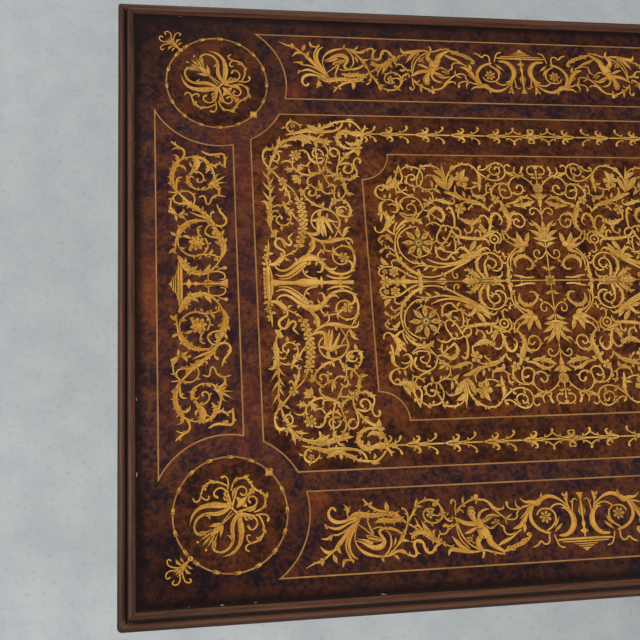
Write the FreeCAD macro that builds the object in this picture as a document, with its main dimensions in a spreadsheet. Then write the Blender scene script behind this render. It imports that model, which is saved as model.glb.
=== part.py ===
import FreeCAD, Part
import os
import re
import Sketcher

# A rectangular side table with a marquetry top, built as a cabinet maker builds one.
# The veneered top has a mitred moulded edge. Under it stand four turned legs on bun feet, joined
# by tenoned frieze rails and an H of stretchers, with one dovetailed drawer in the front.
# Millimetres, +Z up, +X along the table, the drawer towards -Y, origin on the floor at the middle.

SIZES = {
    # The whole table. The height is measured to the veneer, which the edge bead stands over.
    "table_height": 740,
    "top_length": 900,
    "top_width": 650,
    "end_overhang": 40,
    "side_overhang": 35,
    # The top and its edge moulding, from the quirk beside the panel outwards to the nose.
    "core_thickness": 18.8,
    "veneer_thickness": 1.2,
    "moulding_width": 19,
    "quirk_width": 1.5,
    "quirk_depth": 1.2,
    "bead_width": 8.1,
    "bead_rise": 1.5,
    "step_depth": 5,
    "groove_width": 1.2,
    "edge_groove_depth": 5,
    "nose_radius": 4.6,
    "moulding_foot": 8,
    "corner_radius": 7,
    "corner_setback": 6.5,
    # The layout of the marquetry: border panels, frame panel, centre panel and corner roundels.
    "border_margin": 18.4,
    "end_border_width": 81.9,
    "long_border_width": 79.3,
    "border_gap": 17.4,
    "string_width": 1.35,
    "centre_panel_length": 392.8,
    "centre_panel_width": 290.2,
    "notch_radius": 29.8,
    "roundel_inset_end": 85,
    "roundel_inset_side": 79.5,
    "clearing_radius": 74,
    "roundel_radius": 54.2,
    "roundel_ring_width": 1.4,
    # The legs: square blocks where the rails enter, turned between them.
    "leg_block": 48,
    "upper_block": 132,
    "lower_block": 60,
    "pommel_height": 9,
    "pommel_radius": 20,
    "neck_radius": 14.5,
    "neck_height": 3,
    "leg_bead_height": 13,
    "shaft_cove_height": 16,
    "shaft_foot_radius": 12.5,
    "shaft_head_radius": 18.5,
    "fillet_radius": 22,
    "fillet_height": 4,
    "scotia_height": 20,
    "cup_radius": 23,
    "cup_height": 18,
    # The feet.
    "foot_height": 92,
    "foot_pad_radius": 15,
    "foot_pad_height": 5,
    "bun_height": 54,
    "foot_waist_radius": 13,
    "collar_radius": 22,
    "collar_height": 9,
    "spigot_radius": 9,
    "spigot_length": 18,
    # The frieze rails, their tenons and pegs.
    "frieze_height": 118,
    "rail_thickness": 22,
    "rail_setback": 3,
    "tenon_thickness": 9,
    "tenon_shoulder": 10,
    "tenon_gap": 1.5,
    "front_rail_height": 21,
    "front_rail_shoulder": 4,
    "peg_radius": 3.2,
    "peg_length": 26,
    "peg_spacing": 56,
    # The stretchers.
    "stretcher_width": 36,
    "stretcher_thickness": 24,
    "stretcher_round": 7,
    "stretcher_shoulder": 6,
    "cross_tenon_length": 16,
    # The drawer and what it runs on.
    "drawer_clearance": 0.8,
    "running_gap": 0.3,
    "drawer_rear_gap": 62,
    "drawer_front_thickness": 20,
    "drawer_side_thickness": 11,
    "drawer_side_drop": 3,
    "drawer_back_thickness": 10,
    "drawer_back_drop": 5,
    "drawer_bottom_thickness": 6,
    "drawer_bottom_rise": 9,
    "groove_depth": 5,
    "tail_count": 3,
    "tail_length": 14,
    "tail_gap": 7,
    "tail_flare": 2.2,
    "runner_lip": 5,
    "guide_height": 24,
    "stop_height": 5,
    "stop_length": 17,
    "stop_width": 40,
    "stop_spacing": 300,
    # The knobs.
    "knob_spacing": 380,
    "knob_radius": 15,
    "knob_length": 27,
    "knob_base_radius": 9,
    "knob_base_height": 3,
    "knob_neck_radius": 6.5,
    "knob_neck_height": 9,
    "knob_face_radius": 5,
    "knob_spigot_radius": 5,
    "knob_spigot_length": 13,
    # The fixings of the top.
    "block_length": 60,
    "block_leg": 24,
    "block_spacing": 250,
    "screw_radius": 2.2,
    "screw_head_radius": 4.2,
    "screw_head_height": 3,
    "screw_length": 30,
    "kicker_screw_inset": 62,
    "rail_screw_spacing": 420,
}

doc = FreeCAD.newDocument("side_table")
sheet = doc.addObject("Spreadsheet::Sheet", "Size")
for row, (alias, size) in enumerate(SIZES.items(), 1):
    sheet.set(f"A{row}", alias)
    sheet.set(f"B{row}", str(size))
    sheet.setAlias(f"B{row}", alias)
doc.recompute()

# Places that several pieces share, worked out from the sizes.
VENEER_UNDERSIDE = "(table_height - veneer_thickness)"
FRAME_TOP = "(table_height - veneer_thickness - core_thickness)"
FRIEZE_LOW = f"({FRAME_TOP} - frieze_height)"
PANEL_X = "(top_length / 2 - moulding_width)"
PANEL_Y = "(top_width / 2 - moulding_width)"
ROUNDEL_X = f"({PANEL_X} - roundel_inset_end)"
ROUNDEL_Y = f"({PANEL_Y} - roundel_inset_side)"
LEG_X = "(top_length / 2 - end_overhang - leg_block / 2)"
LEG_Y = "(top_width / 2 - side_overhang - leg_block / 2)"
LEG_INNER_X = f"({LEG_X} - leg_block / 2)"
LEG_INNER_Y = f"({LEG_Y} - leg_block / 2)"
RAIL_X = f"({LEG_X} + leg_block / 2 - rail_setback - rail_thickness / 2)"
RAIL_Y = f"({LEG_Y} + leg_block / 2 - rail_setback - rail_thickness / 2)"
RAIL_INNER_X = f"({RAIL_X} - rail_thickness / 2)"
TENON_LENGTH = "(leg_block - rail_setback - rail_thickness / 2 - tenon_thickness / 2 - tenon_gap)"
FACE_Y = f"(-({LEG_Y} + leg_block / 2 - rail_setback))"
RUNNER_TOP = f"({FRIEZE_LOW} + front_rail_height)"
DRAWER_HALF = f"({LEG_INNER_X} - drawer_clearance)"
DRAWER_LOW = f"({RUNNER_TOP} + running_gap)"
DRAWER_HIGH = f"({FRAME_TOP} - front_rail_height - drawer_clearance)"
SIDE_INNER = f"({DRAWER_HALF} - drawer_side_thickness)"
SIDE_HIGH = f"({DRAWER_HIGH} - drawer_side_drop)"
RUNNER_INNER = f"({SIDE_INNER} - runner_lip)"
LEG_LOW = "foot_height"
BLOCK_TOP = "(foot_height + lower_block)"
STRETCHER_LOW = "(foot_height + lower_block / 2 - stretcher_thickness / 2)"
STRETCHER_TENON = "(leg_block / 2 - spigot_radius - tenon_gap)"

# The bulge of a full round, just under a half circle.
ROUND = 0.9

SIDES = (("left", -1), ("right", 1))
ENDS = (("front", -1), ("back", 1))


def formula(text):
    """The text as an expression, with each size's name pointing at its cell."""
    return re.sub(r"[a-z_]+", lambda word: "Size." * (word[0] in SIZES) + word[0], str(text))


def number(text):
    return float(sheet.evalExpression(formula(text)))


def bind(thing, **texts):
    for name, text in texts.items():
        thing.setExpression(name, formula(text))


def place(thing, x, y, z):
    for axis, text in zip("xyz", (x, y, z)):
        thing.setExpression(f"Placement.Base.{axis}", formula(text))


def box(name, x_span, y_span, z_span):
    """A block between two places along each axis."""
    block = doc.addObject("Part::Box", name)
    spans = (x_span, y_span, z_span)
    for side, (low, high) in zip(("Length", "Width", "Height"), spans):
        block.setExpression(side, formula(f"({high}) - ({low})"))
    place(block, *(low for low, high in spans))
    return block


def mirrored_span(sign, inner, outer):
    """The span from inner to outer on the plus side, or its mirror image on the minus side."""
    return (inner, outer) if sign > 0 else (f"-({outer})", f"-({inner})")


def about(middle, width):
    return f"({middle}) - ({width}) / 2", f"({middle}) + ({width}) / 2"


def cylinder(name, radius, length, at, direction=(0, 0, 1)):
    rod = doc.addObject("Part::Cylinder", name)
    rod.Placement = FreeCAD.Placement(
        FreeCAD.Vector(), FreeCAD.Rotation(FreeCAD.Vector(0, 0, 1), FreeCAD.Vector(*direction))
    )
    bind(rod, Radius=radius, Height=length)
    place(rod, *at)
    return rod


def fuse(name, *pieces):
    whole = doc.addObject("Part::MultiFuse", name)
    whole.Shapes = pieces
    whole.Refine = True
    return whole


def cut(name, base, *tools):
    rest = doc.addObject("Part::Cut", name)
    rest.Base = base
    rest.Tool = tools[0] if len(tools) == 1 else fuse(f"{name}_cutters", *tools)
    rest.Refine = True
    return rest


def group(name, *pieces):
    together = doc.addObject("Part::Compound", name)
    together.Links = pieces
    return together


def bend_of(points, index):
    """An outline's side: its start, middle and end, and its radius as text if it is an arc."""
    x1, y1, bend = points[index]
    x2, y2, _ = points[(index + 1) % len(points)]
    start = FreeCAD.Vector(number(x1), number(y1))
    stop = FreeCAD.Vector(number(x2), number(y2))
    chord = stop - start
    middle = (start + stop) / 2
    if isinstance(bend, tuple):
        radius, centre_x, centre_y = bend
        centre = FreeCAD.Vector(number(centre_x), number(centre_y))
        outward = (middle - centre).normalize()
        return start, centre + outward * number(radius), stop, radius
    if bend:
        right = FreeCAD.Vector(chord.y, -chord.x)
        reach = f"sqrt((({x2}) - ({x1}))^2 + (({y2}) - ({y1}))^2)"
        return start, middle + right * (bend / 2), stop, f"{reach} * {(1 + bend ** 2) / 4 / abs(bend)}"
    return start, None, stop, None


def outline(sketch, points):
    """Draw a closed outline in a sketch and tie every point and arc to the sizes.

    A point is (x, y, bend of the side after it): a number is the arc's bulge, as the tangent of a
    quarter of its angle, bowed to the right of travel; a tuple is its radius and its centre.
    """
    first = sketch.GeometryCount
    count = len(points)
    starts = []
    radii = []
    for index in range(count):
        start, middle, stop, radius = bend_of(points, index)
        side = Part.Arc(start, middle, stop) if middle else Part.LineSegment(start, stop)
        line = sketch.addGeometry(side)
        near = sketch.getPoint(line, 1).distanceToPoint(start)
        far = sketch.getPoint(line, 2).distanceToPoint(start)
        starts.append(1 if near < far else 2)
        radii.append(radius)
    for index in range(count):
        line = first + index
        after = (index + 1) % count
        sketch.addConstraint(
            Sketcher.Constraint("Coincident", line, 3 - starts[index], first + after, starts[after])
        )
        x, y, _ = points[index]
        for kind, axis, text in (("DistanceX", -2, x), ("DistanceY", -1, y)):
            if text == "0":
                sketch.addConstraint(Sketcher.Constraint("PointOnObject", line, starts[index], axis))
                continue
            tie = sketch.addConstraint(
                Sketcher.Constraint(kind, -1, 1, line, starts[index], number(text))
            )
            sketch.setExpression(f"Constraints[{tie}]", formula(text))
        if radii[index]:
            tie = sketch.addConstraint(Sketcher.Constraint("Radius", line, number(radii[index])))
            sketch.setExpression(f"Constraints[{tie}]", formula(radii[index]))


def sketch_in(body, role, name):
    """A sketch on one of a body's own origin planes."""
    sketch = body.newObject("Sketcher::SketchObject", name)
    plane = next(feature for feature in body.Origin.OriginFeatures if feature.Role == role)
    sketch.AttachmentSupport = [(plane, "")]
    sketch.MapMode = "FlatFace"
    return sketch


def turning(name, points):
    """A piece turned about its upright axis: points are (radius, height, bend)."""
    body = doc.addObject("PartDesign::Body", name)
    profile = sketch_in(body, "XZ_Plane", f"{name}_profile")
    outline(profile, points)
    turned = body.newObject("PartDesign::Revolution", f"{name}_turned")
    turned.Profile = profile
    turned.ReferenceAxis = (profile, ["V_Axis"])
    turned.Angle = 360
    return body


def sheet_of_veneer(name, points):
    """A flat piece of veneer thickness, lying on the core."""
    flat = doc.addObject("Sketcher::SketchObject", f"{name}_outline")
    outline(flat, points)
    place(flat, "0", "0", VENEER_UNDERSIDE)
    leaf = doc.addObject("Part::Extrusion", name)
    leaf.Base = flat
    leaf.DirMode = "Custom"
    leaf.Dir = FreeCAD.Vector(0, 0, 1)
    leaf.Solid = True
    bind(leaf, LengthFwd="veneer_thickness")
    return leaf


# The marquetry's outlines. Every bay is bounded by straight strings and by arcs struck from the
# roundels' centres, or for the centre panel from its own corners. An inset of one string width
# gives the field inside the string.
def centre_panel_points(inset):
    half_x = f"(centre_panel_length / 2 - ({inset}))"
    half_y = f"(centre_panel_width / 2 - ({inset}))"
    corner_x = "(centre_panel_length / 2)"
    corner_y = "(centre_panel_width / 2)"
    radius = f"(notch_radius + ({inset}))"
    points = []
    for sx, sy in ((-1, -1), (1, -1), (1, 1), (-1, 1)):
        arc = (radius, f"{sx} * {corner_x}", f"{sy} * {corner_y}")
        reach = f"sqrt({radius}^2 - ({inset})^2)"
        along_x = (f"{sx} * ({corner_x} - {reach})", f"{sy} * {half_y}")
        along_y = (f"{sx} * {half_x}", f"{sy} * ({corner_y} - {reach})")
        first, second = (along_y, along_x) if sx * sy > 0 else (along_x, along_y)
        points += [(*first, arc), (*second, 0)]
    return points


def struck_from_roundel(radius, offset):
    """How far an arc about a roundel's centre reaches, at an offset across."""
    return f"sqrt({radius}^2 - ({offset})^2)"


def frame_panel_points(inset):
    half_x = f"({PANEL_X} - border_margin - end_border_width - border_gap - ({inset}))"
    half_y = f"({PANEL_Y} - border_margin - long_border_width - border_gap - ({inset}))"
    radius = f"(clearing_radius + ({inset}))"
    reach_y = struck_from_roundel(radius, f"{ROUNDEL_X} - {half_x}")
    reach_x = struck_from_roundel(radius, f"{ROUNDEL_Y} - {half_y}")
    points = []
    for sx, sy in ((-1, -1), (1, -1), (1, 1), (-1, 1)):
        arc = (radius, f"{sx} * {ROUNDEL_X}", f"{sy} * {ROUNDEL_Y}")
        along_x = (f"{sx} * ({ROUNDEL_X} - {reach_x})", f"{sy} * {half_y}")
        along_y = (f"{sx} * {half_x}", f"{sy} * ({ROUNDEL_Y} - {reach_y})")
        first, second = (along_y, along_x) if sx * sy > 0 else (along_x, along_y)
        points += [(*first, arc), (*second, 0)]
    return points


def end_border_points(sign, inset):
    outer = f"({PANEL_X} - border_margin - ({inset}))"
    inner = f"({PANEL_X} - border_margin - end_border_width + ({inset}))"
    radius = f"(clearing_radius + ({inset}))"
    outer_y = f"({ROUNDEL_Y} - {struck_from_roundel(radius, f'{outer} - {ROUNDEL_X}')})"
    inner_y = f"({ROUNDEL_Y} - {struck_from_roundel(radius, f'{inner} - {ROUNDEL_X}')})"
    centre_x = f"{sign} * {ROUNDEL_X}"
    return [
        (f"{sign} * {outer}", f"-{outer_y}", (radius, centre_x, f"-{ROUNDEL_Y}")),
        (f"{sign} * {inner}", f"-{inner_y}", 0),
        (f"{sign} * {inner}", inner_y, (radius, centre_x, ROUNDEL_Y)),
        (f"{sign} * {outer}", outer_y, 0),
    ]


def long_border_points(sign, inset):
    outer = f"({PANEL_Y} - border_margin - ({inset}))"
    inner = f"({PANEL_Y} - border_margin - long_border_width + ({inset}))"
    radius = f"(clearing_radius + ({inset}))"
    outer_x = f"({ROUNDEL_X} - {struck_from_roundel(radius, f'{outer} - {ROUNDEL_Y}')})"
    inner_x = f"({ROUNDEL_X} - {struck_from_roundel(radius, f'{inner} - {ROUNDEL_Y}')})"
    centre_y = f"{sign} * {ROUNDEL_Y}"
    return [
        (f"-{outer_x}", f"{sign} * {outer}", (radius, f"-{ROUNDEL_X}", centre_y)),
        (f"-{inner_x}", f"{sign} * {inner}", 0),
        (inner_x, f"{sign} * {inner}", (radius, ROUNDEL_X, centre_y)),
        (outer_x, f"{sign} * {outer}", 0),
    ]


def make_veneer():
    """The veneer in its fields, with the stringing and the roundel rings let in between them."""
    ground = box(
        "veneer_sheet",
        (f"-{PANEL_X}", PANEL_X),
        (f"-{PANEL_Y}", PANEL_Y),
        (VENEER_UNDERSIDE, "table_height"),
    )
    frame_bay = sheet_of_veneer("frame_panel_bay", frame_panel_points("0"))
    frame_field = sheet_of_veneer("frame_panel_field", frame_panel_points("string_width"))
    centre_bay = sheet_of_veneer("centre_panel_bay", centre_panel_points("0"))
    centre_field = sheet_of_veneer("veneer_centre_panel", centre_panel_points("string_width"))
    cut("string_frame_panel", frame_bay, frame_field)
    cut("string_centre_panel", centre_bay, centre_field)
    cut("veneer_frame_panel", frame_field, centre_bay)
    bays = [frame_bay]
    for kind, border_points, ends in (
        ("end", end_border_points, SIDES),
        ("long", long_border_points, ENDS),
    ):
        fields = []
        strings = []
        for side, sign in ends:
            bay = sheet_of_veneer(f"{side}_border_bay", border_points(sign, "0"))
            field = sheet_of_veneer(f"{side}_border_field", border_points(sign, "string_width"))
            strings.append(cut(f"{side}_border_string", bay, field))
            fields.append(field)
            bays.append(bay)
        group(f"veneer_{kind}_borders", *fields)
        group(f"strings_{kind}_borders", *strings)
    discs = []
    rings = []
    for side, sx in SIDES:
        for end, sy in ENDS:
            at = (f"{sx} * {ROUNDEL_X}", f"{sy} * {ROUNDEL_Y}", VENEER_UNDERSIDE)
            name = f"{end}_{side}_roundel"
            bay = cylinder(f"{name}_bay", "roundel_radius", "veneer_thickness", at)
            inner_radius = "roundel_radius - roundel_ring_width"
            disc = cylinder(f"{name}_disc", inner_radius, "veneer_thickness", at)
            rings.append(cut(f"{name}_ring", bay, disc))
            discs.append(disc)
            bays.append(bay)
    group("veneer_roundels", *discs)
    group("roundel_rings", *rings)
    cut("veneer_ground", ground, *bays)


def make_moulding(name, length, half_depth, turn):
    """One side of the edge moulding: drawn across the front edge, mitred, then turned about Z.

    The saw that cuts the mitres also rounds the outer corner, about a centre on the mitre line. The
    round is set out a little past the nose, so that it crosses the nose and doesn't just touch it.
    """
    inner = f"({half_depth} - moulding_width)"
    bead_out = "(quirk_width + bead_width)"
    bead_foot = "(table_height - quirk_depth)"
    bead_bulge = number("2 * (bead_rise + quirk_depth) / bead_width")
    step = "(table_height - step_depth)"
    groove_floor = f"({step} - edge_groove_depth)"
    nose_low = f"({step} - 2 * nose_radius)"
    crest = f"(moulding_width - {ROUND} * nose_radius)"
    profile = [
        ("0", FRAME_TOP, 0),
        ("0", bead_foot, 0),
        ("quirk_width", bead_foot, -bead_bulge),
        (bead_out, bead_foot, 0),
        (bead_out, groove_floor, 0),
        (f"{bead_out} + groove_width", groove_floor, -0.2),
        (crest, step, -ROUND),
        (crest, nose_low, 0.3),
        ("moulding_foot", FRAME_TOP, 0),
    ]
    body = doc.addObject("PartDesign::Body", name)
    section = sketch_in(body, "YZ_Plane", f"{name}_section")
    outline(section, [(f"-({inner} + {out})", z, -bend) for out, z, bend in profile])
    run = body.newObject("PartDesign::Pad", f"{name}_run")
    run.Profile = section
    run.SideType = "Symmetric"
    bind(run, Length=length)
    mitres = sketch_in(body, "XY_Plane", f"{name}_mitres")
    slant = "corner_radius / sqrt(2)"
    for end in (-1, 1):
        outside = f"{end} * ({length} / 2 + moulding_width)"
        inside = f"{end} * ({length} / 2 - 2 * moulding_width)"
        near = f"-({half_depth} + moulding_width)"
        far = f"-({half_depth} - 2 * moulding_width)"
        corner_x = f"{end} * ({length} / 2 - corner_setback)"
        corner_y = f"-({half_depth} - corner_setback)"
        rounding = ("corner_radius", corner_x, corner_y)
        saw_path = [
            (outside, near, 0),
            (outside, far, 0),
            (inside, far, 0),
            (f"{corner_x} + {end} * {slant}", f"{corner_y} - {slant}", rounding),
            (corner_x, f"{corner_y} - corner_radius", 0),
            (corner_x, near, 0),
        ]
        outline(mitres, saw_path)
    saw = body.newObject("PartDesign::Pocket", f"{name}_saw")
    saw.Profile = mitres
    saw.Type = "ThroughAll"
    saw.SideType = "Symmetric"
    body.Placement = FreeCAD.Placement(
        FreeCAD.Vector(), FreeCAD.Rotation(FreeCAD.Vector(0, 0, 1), turn)
    )


def make_screw(name, x, y, low):
    """A countersunk wood screw that points up, its head flush at the low end."""
    head = doc.addObject("Part::Cone", f"{name}_head")
    bind(head, Radius1="screw_head_radius", Radius2="screw_radius", Height="screw_head_height")
    place(head, x, y, low)
    shank = cylinder(f"{name}_shank", "screw_radius", "screw_length", (x, y, low))
    return fuse(name, head, shank)


def make_top_and_fixings():
    """The core board, the screws that hold it, and the kickers and rail that they pass through."""
    screw_low = f"({FRAME_TOP} - front_rail_height)"
    kicker_x = f"({RUNNER_INNER} + {RAIL_INNER_X}) / 2"
    screws = []
    for side, sign in SIDES:
        kicker_screws = [
            make_screw(
                f"{side}_kicker_screw_{place_along + 2}",
                f"{sign} * ({kicker_x})",
                f"{place_along} * ({LEG_INNER_Y} - kicker_screw_inset)",
                screw_low,
            )
            for place_along in (-1, 0, 1)
        ]
        kicker = box(
            f"kicker_{side}_blank",
            mirrored_span(sign, RUNNER_INNER, RAIL_INNER_X),
            (f"-{LEG_INNER_Y}", LEG_INNER_Y),
            (screw_low, FRAME_TOP),
        )
        cut(f"kicker_{side}", kicker, *kicker_screws)
        screws += kicker_screws
    rail_screws = [
        make_screw(
            f"{side}_rail_screw",
            f"{sign} * rail_screw_spacing / 2",
            f"({FACE_Y} - {LEG_INNER_Y}) / 2",
            screw_low,
        )
        for side, sign in SIDES
    ]
    group("top_screws", *screws, *rail_screws)
    core = box(
        "top_core_blank",
        (f"-{PANEL_X}", PANEL_X),
        (f"-{PANEL_Y}", PANEL_Y),
        (FRAME_TOP, VENEER_UNDERSIDE),
    )
    cut("top_core", core, *screws, *rail_screws)
    return rail_screws


def make_tenons(name, axis, across, z_span, thickness, start, length):
    """A pair of tenons at the two ends of a rail that runs along X or Y, minus end first."""
    tenons = []
    for end, sign in (("low", -1), ("high", 1)):
        along = mirrored_span(sign, start, f"{start} + {length}")
        sides = about(across, thickness)
        spans = (along, sides) if axis == "x" else (sides, along)
        tenons.append(box(f"{name}_{end}_tenon", *spans, z_span))
    return tenons


def make_pegs(name, axis, across_face, sign_face, along):
    """The two pegs through a tenon, driven in from the leg's outer face."""
    pegs = []
    middle = f"({FRAME_TOP} - frieze_height / 2)"
    direction = (0, -sign_face, 0) if axis == "x" else (-sign_face, 0, 0)
    for level, step in (("low", -1), ("high", 1)):
        face = f"{sign_face} * {across_face}"
        spot = (along, face) if axis == "x" else (face, along)
        at = (*spot, f"{middle} + {step} * peg_spacing / 2")
        pegs.append(cylinder(f"{name}_{level}_peg", "peg_radius", "peg_length", at, direction))
    return pegs


def make_rails(rail_screws):
    """The frieze rails. Returns what enters each leg, by its two signs."""
    entering = {(sx, sy): [] for _, sx in SIDES for _, sy in ENDS}
    all_pegs = []
    rail_z = (FRIEZE_LOW, FRAME_TOP)
    tenon_z = (f"{FRIEZE_LOW} + tenon_shoulder", f"{FRAME_TOP} - tenon_shoulder")
    face_x = f"({LEG_X} + leg_block / 2)"
    face_y = f"({LEG_Y} + leg_block / 2)"

    tenons = make_tenons(
        "back_rail", "x", RAIL_Y, tenon_z, "tenon_thickness", LEG_INNER_X, TENON_LENGTH
    )
    board = box(
        "back_rail_board", (f"-{LEG_INNER_X}", LEG_INNER_X), about(RAIL_Y, "rail_thickness"), rail_z
    )
    pegs = []
    for (side, sx), tenon in zip(SIDES, tenons):
        along = f"{sx} * ({LEG_INNER_X} + {TENON_LENGTH} / 2)"
        tenon_pegs = make_pegs(f"back_rail_{side}", "x", face_y, 1, along)
        entering[sx, 1] += [tenon, *tenon_pegs]
        pegs += tenon_pegs
    cut("back_rail", fuse("back_rail_whole", board, *tenons), *pegs)
    all_pegs += pegs

    for side, sx in SIDES:
        name = f"{side}_rail"
        across = f"{sx} * {RAIL_X}"
        tenons = make_tenons(
            name, "y", across, tenon_z, "tenon_thickness", LEG_INNER_Y, TENON_LENGTH
        )
        board = box(
            f"{name}_board", about(across, "rail_thickness"), (f"-{LEG_INNER_Y}", LEG_INNER_Y), rail_z
        )
        pegs = []
        for (end, sy), tenon in zip(ENDS, tenons):
            along = f"{sy} * ({LEG_INNER_Y} + {TENON_LENGTH} / 2)"
            tenon_pegs = make_pegs(f"{name}_{end}", "y", face_x, sx, along)
            entering[sx, sy] += [tenon, *tenon_pegs]
            pegs += tenon_pegs
        cut(name, fuse(f"{name}_whole", board, *tenons), *pegs)
        all_pegs += pegs
    group("rail_pegs", *all_pegs)

    levels = {
        "front_top_rail": (f"{FRAME_TOP} - front_rail_height", FRAME_TOP),
        "front_bottom_rail": (FRIEZE_LOW, RUNNER_TOP),
    }
    for name, (low, high) in levels.items():
        tenons = make_tenons(
            name,
            "x",
            f"-{RAIL_Y}",
            (f"{low} + front_rail_shoulder", f"{high} - front_rail_shoulder"),
            "tenon_thickness",
            LEG_INNER_X,
            TENON_LENGTH,
        )
        board = box(
            f"{name}_board", (f"-{LEG_INNER_X}", LEG_INNER_X), (FACE_Y, f"-{LEG_INNER_Y}"), (low, high)
        )
        for (_, sx), tenon in zip(SIDES, tenons):
            entering[sx, -1].append(tenon)
        if name == "front_top_rail":
            cut(name, fuse(f"{name}_whole", board, *tenons), *rail_screws)
        else:
            fuse(name, board, *tenons)
    return entering


def stretcher_bar(name, length, turn):
    """A stretcher's plain length: its section has both upper edges rounded."""
    body = doc.addObject("PartDesign::Body", f"{name}_bar")
    section = sketch_in(body, "YZ_Plane", f"{name}_section")
    half = "stretcher_width / 2"
    high = "stretcher_thickness"
    quarter = 0.4142
    outline(
        section,
        [
            (f"-{half}", "0", 0),
            (half, "0", 0),
            (half, f"{high} - stretcher_round", quarter),
            (f"{half} - stretcher_round", high, 0),
            (f"-({half} - stretcher_round)", high, quarter),
            (f"-{half}", f"{high} - stretcher_round", 0),
        ],
    )
    run = body.newObject("PartDesign::Pad", f"{name}_run")
    run.Profile = section
    run.SideType = "Symmetric"
    bind(run, Length=length)
    body.Placement = FreeCAD.Placement(
        FreeCAD.Vector(), FreeCAD.Rotation(FreeCAD.Vector(0, 0, 1), turn)
    )
    return body


def make_stretchers(entering):
    """Two side stretchers between the legs' lower blocks, and the cross stretcher between them."""
    tenon_z = (
        f"{STRETCHER_LOW} + stretcher_shoulder",
        f"{STRETCHER_LOW} + stretcher_thickness - stretcher_shoulder",
    )
    tenon_width = "(stretcher_width - 2 * stretcher_shoulder)"
    cross_half = f"({LEG_X} - stretcher_width / 2)"
    cross_tenons = make_tenons(
        "cross_stretcher", "x", "0", tenon_z, tenon_width, cross_half, "cross_tenon_length"
    )
    bar = stretcher_bar("cross_stretcher", f"2 * {cross_half}", 0)
    place(bar, "0", "0", STRETCHER_LOW)
    fuse("cross_stretcher", bar, *cross_tenons)
    for (side, sx), cross_tenon in zip(SIDES, cross_tenons):
        name = f"{side}_stretcher"
        across = f"{sx} * {LEG_X}"
        tenons = make_tenons(name, "y", across, tenon_z, tenon_width, LEG_INNER_Y, STRETCHER_TENON)
        bar = stretcher_bar(name, f"2 * {LEG_INNER_Y}", 90)
        place(bar, across, "0", STRETCHER_LOW)
        cut(name, fuse(f"{name}_whole", bar, *tenons), cross_tenon)
        for (_, sy), tenon in zip(ENDS, tenons):
            entering[sx, sy].append(tenon)


def leg_profile():
    """What the lathe leaves of a square post, from the foot of the leg to its top.

    Blocks lie inside the envelope radius and stay square; their ends are turned to pommels.
    """
    envelope = "(leg_block * 3 / 4)"
    block_low = f"({FRAME_TOP} - upper_block)"
    pommel_bulge = 0.36
    low_bead = f"({BLOCK_TOP} + neck_height)"
    shaft_foot = f"({low_bead} + leg_bead_height + shaft_cove_height)"
    high_bead = f"({block_low} - neck_height - leg_bead_height)"
    cup_top = f"({high_bead} - neck_height - scotia_height / 2)"
    cup_foot = f"({cup_top} - fillet_height - cup_height)"
    scotia_foot = f"({cup_foot} - scotia_height)"
    shaft_head = f"({scotia_foot} - fillet_height)"
    return [
        ("0", LEG_LOW, 0),
        (envelope, LEG_LOW, 0),
        (envelope, f"{BLOCK_TOP} - pommel_height", pommel_bulge),
        ("pommel_radius", BLOCK_TOP, 0),
        ("neck_radius", low_bead, ROUND),
        ("neck_radius", f"{low_bead} + leg_bead_height", -0.2),
        ("shaft_foot_radius", shaft_foot, 0.015),
        ("shaft_head_radius", shaft_head, 0),
        ("fillet_radius", shaft_head, 0),
        ("fillet_radius", scotia_foot, -0.35),
        ("neck_radius", cup_foot, 0.35),
        ("cup_radius", f"{cup_foot} + cup_height", 0),
        ("cup_radius", cup_top, -0.35),
        ("neck_radius", high_bead, ROUND),
        ("neck_radius", f"{high_bead} + leg_bead_height", 0),
        ("pommel_radius", block_low, pommel_bulge),
        (envelope, f"{block_low} + pommel_height", 0),
        (envelope, FRAME_TOP, 0),
        ("0", FRAME_TOP, 0),
    ]


def foot_profile():
    """A bun on a small pad, a hollow waist and a collar, with a spigot into the leg."""
    bun_foot = "foot_pad_height"
    bun_head = "(foot_pad_height + bun_height)"
    collar_low = "(foot_height - collar_height)"
    return [
        ("0", "0", 0),
        ("foot_pad_radius", "0", 0),
        ("foot_pad_radius", bun_foot, 0.6),
        ("foot_pad_radius", bun_head, 0),
        ("foot_waist_radius", f"{bun_head} + neck_height", -0.3),
        ("collar_radius", collar_low, 0),
        ("collar_radius", "foot_height", 0),
        ("spigot_radius", "foot_height", 0),
        ("spigot_radius", "foot_height + spigot_length", 0),
        ("0", "foot_height + spigot_length", 0),
    ]


def make_legs(entering):
    for side, sx in SIDES:
        for end, sy in ENDS:
            name = f"leg_{end}_{side}"
            x = f"{sx} * {LEG_X}"
            y = f"{sy} * {LEG_Y}"
            post = box(
                f"{name}_post", about(x, "leg_block"), about(y, "leg_block"), (LEG_LOW, FRAME_TOP)
            )
            lathe = turning(f"{name}_lathe", leg_profile())
            place(lathe, x, y, "0")
            turned = doc.addObject("Part::Common", f"{name}_turned_post")
            turned.Base = post
            turned.Tool = lathe
            foot = turning(f"foot_{end}_{side}", foot_profile())
            place(foot, x, y, "0")
            socket = cylinder(
                f"{name}_socket", "spigot_radius", "spigot_length", (x, y, "foot_height")
            )
            cut(name, turned, socket, *entering[sx, sy])


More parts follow.
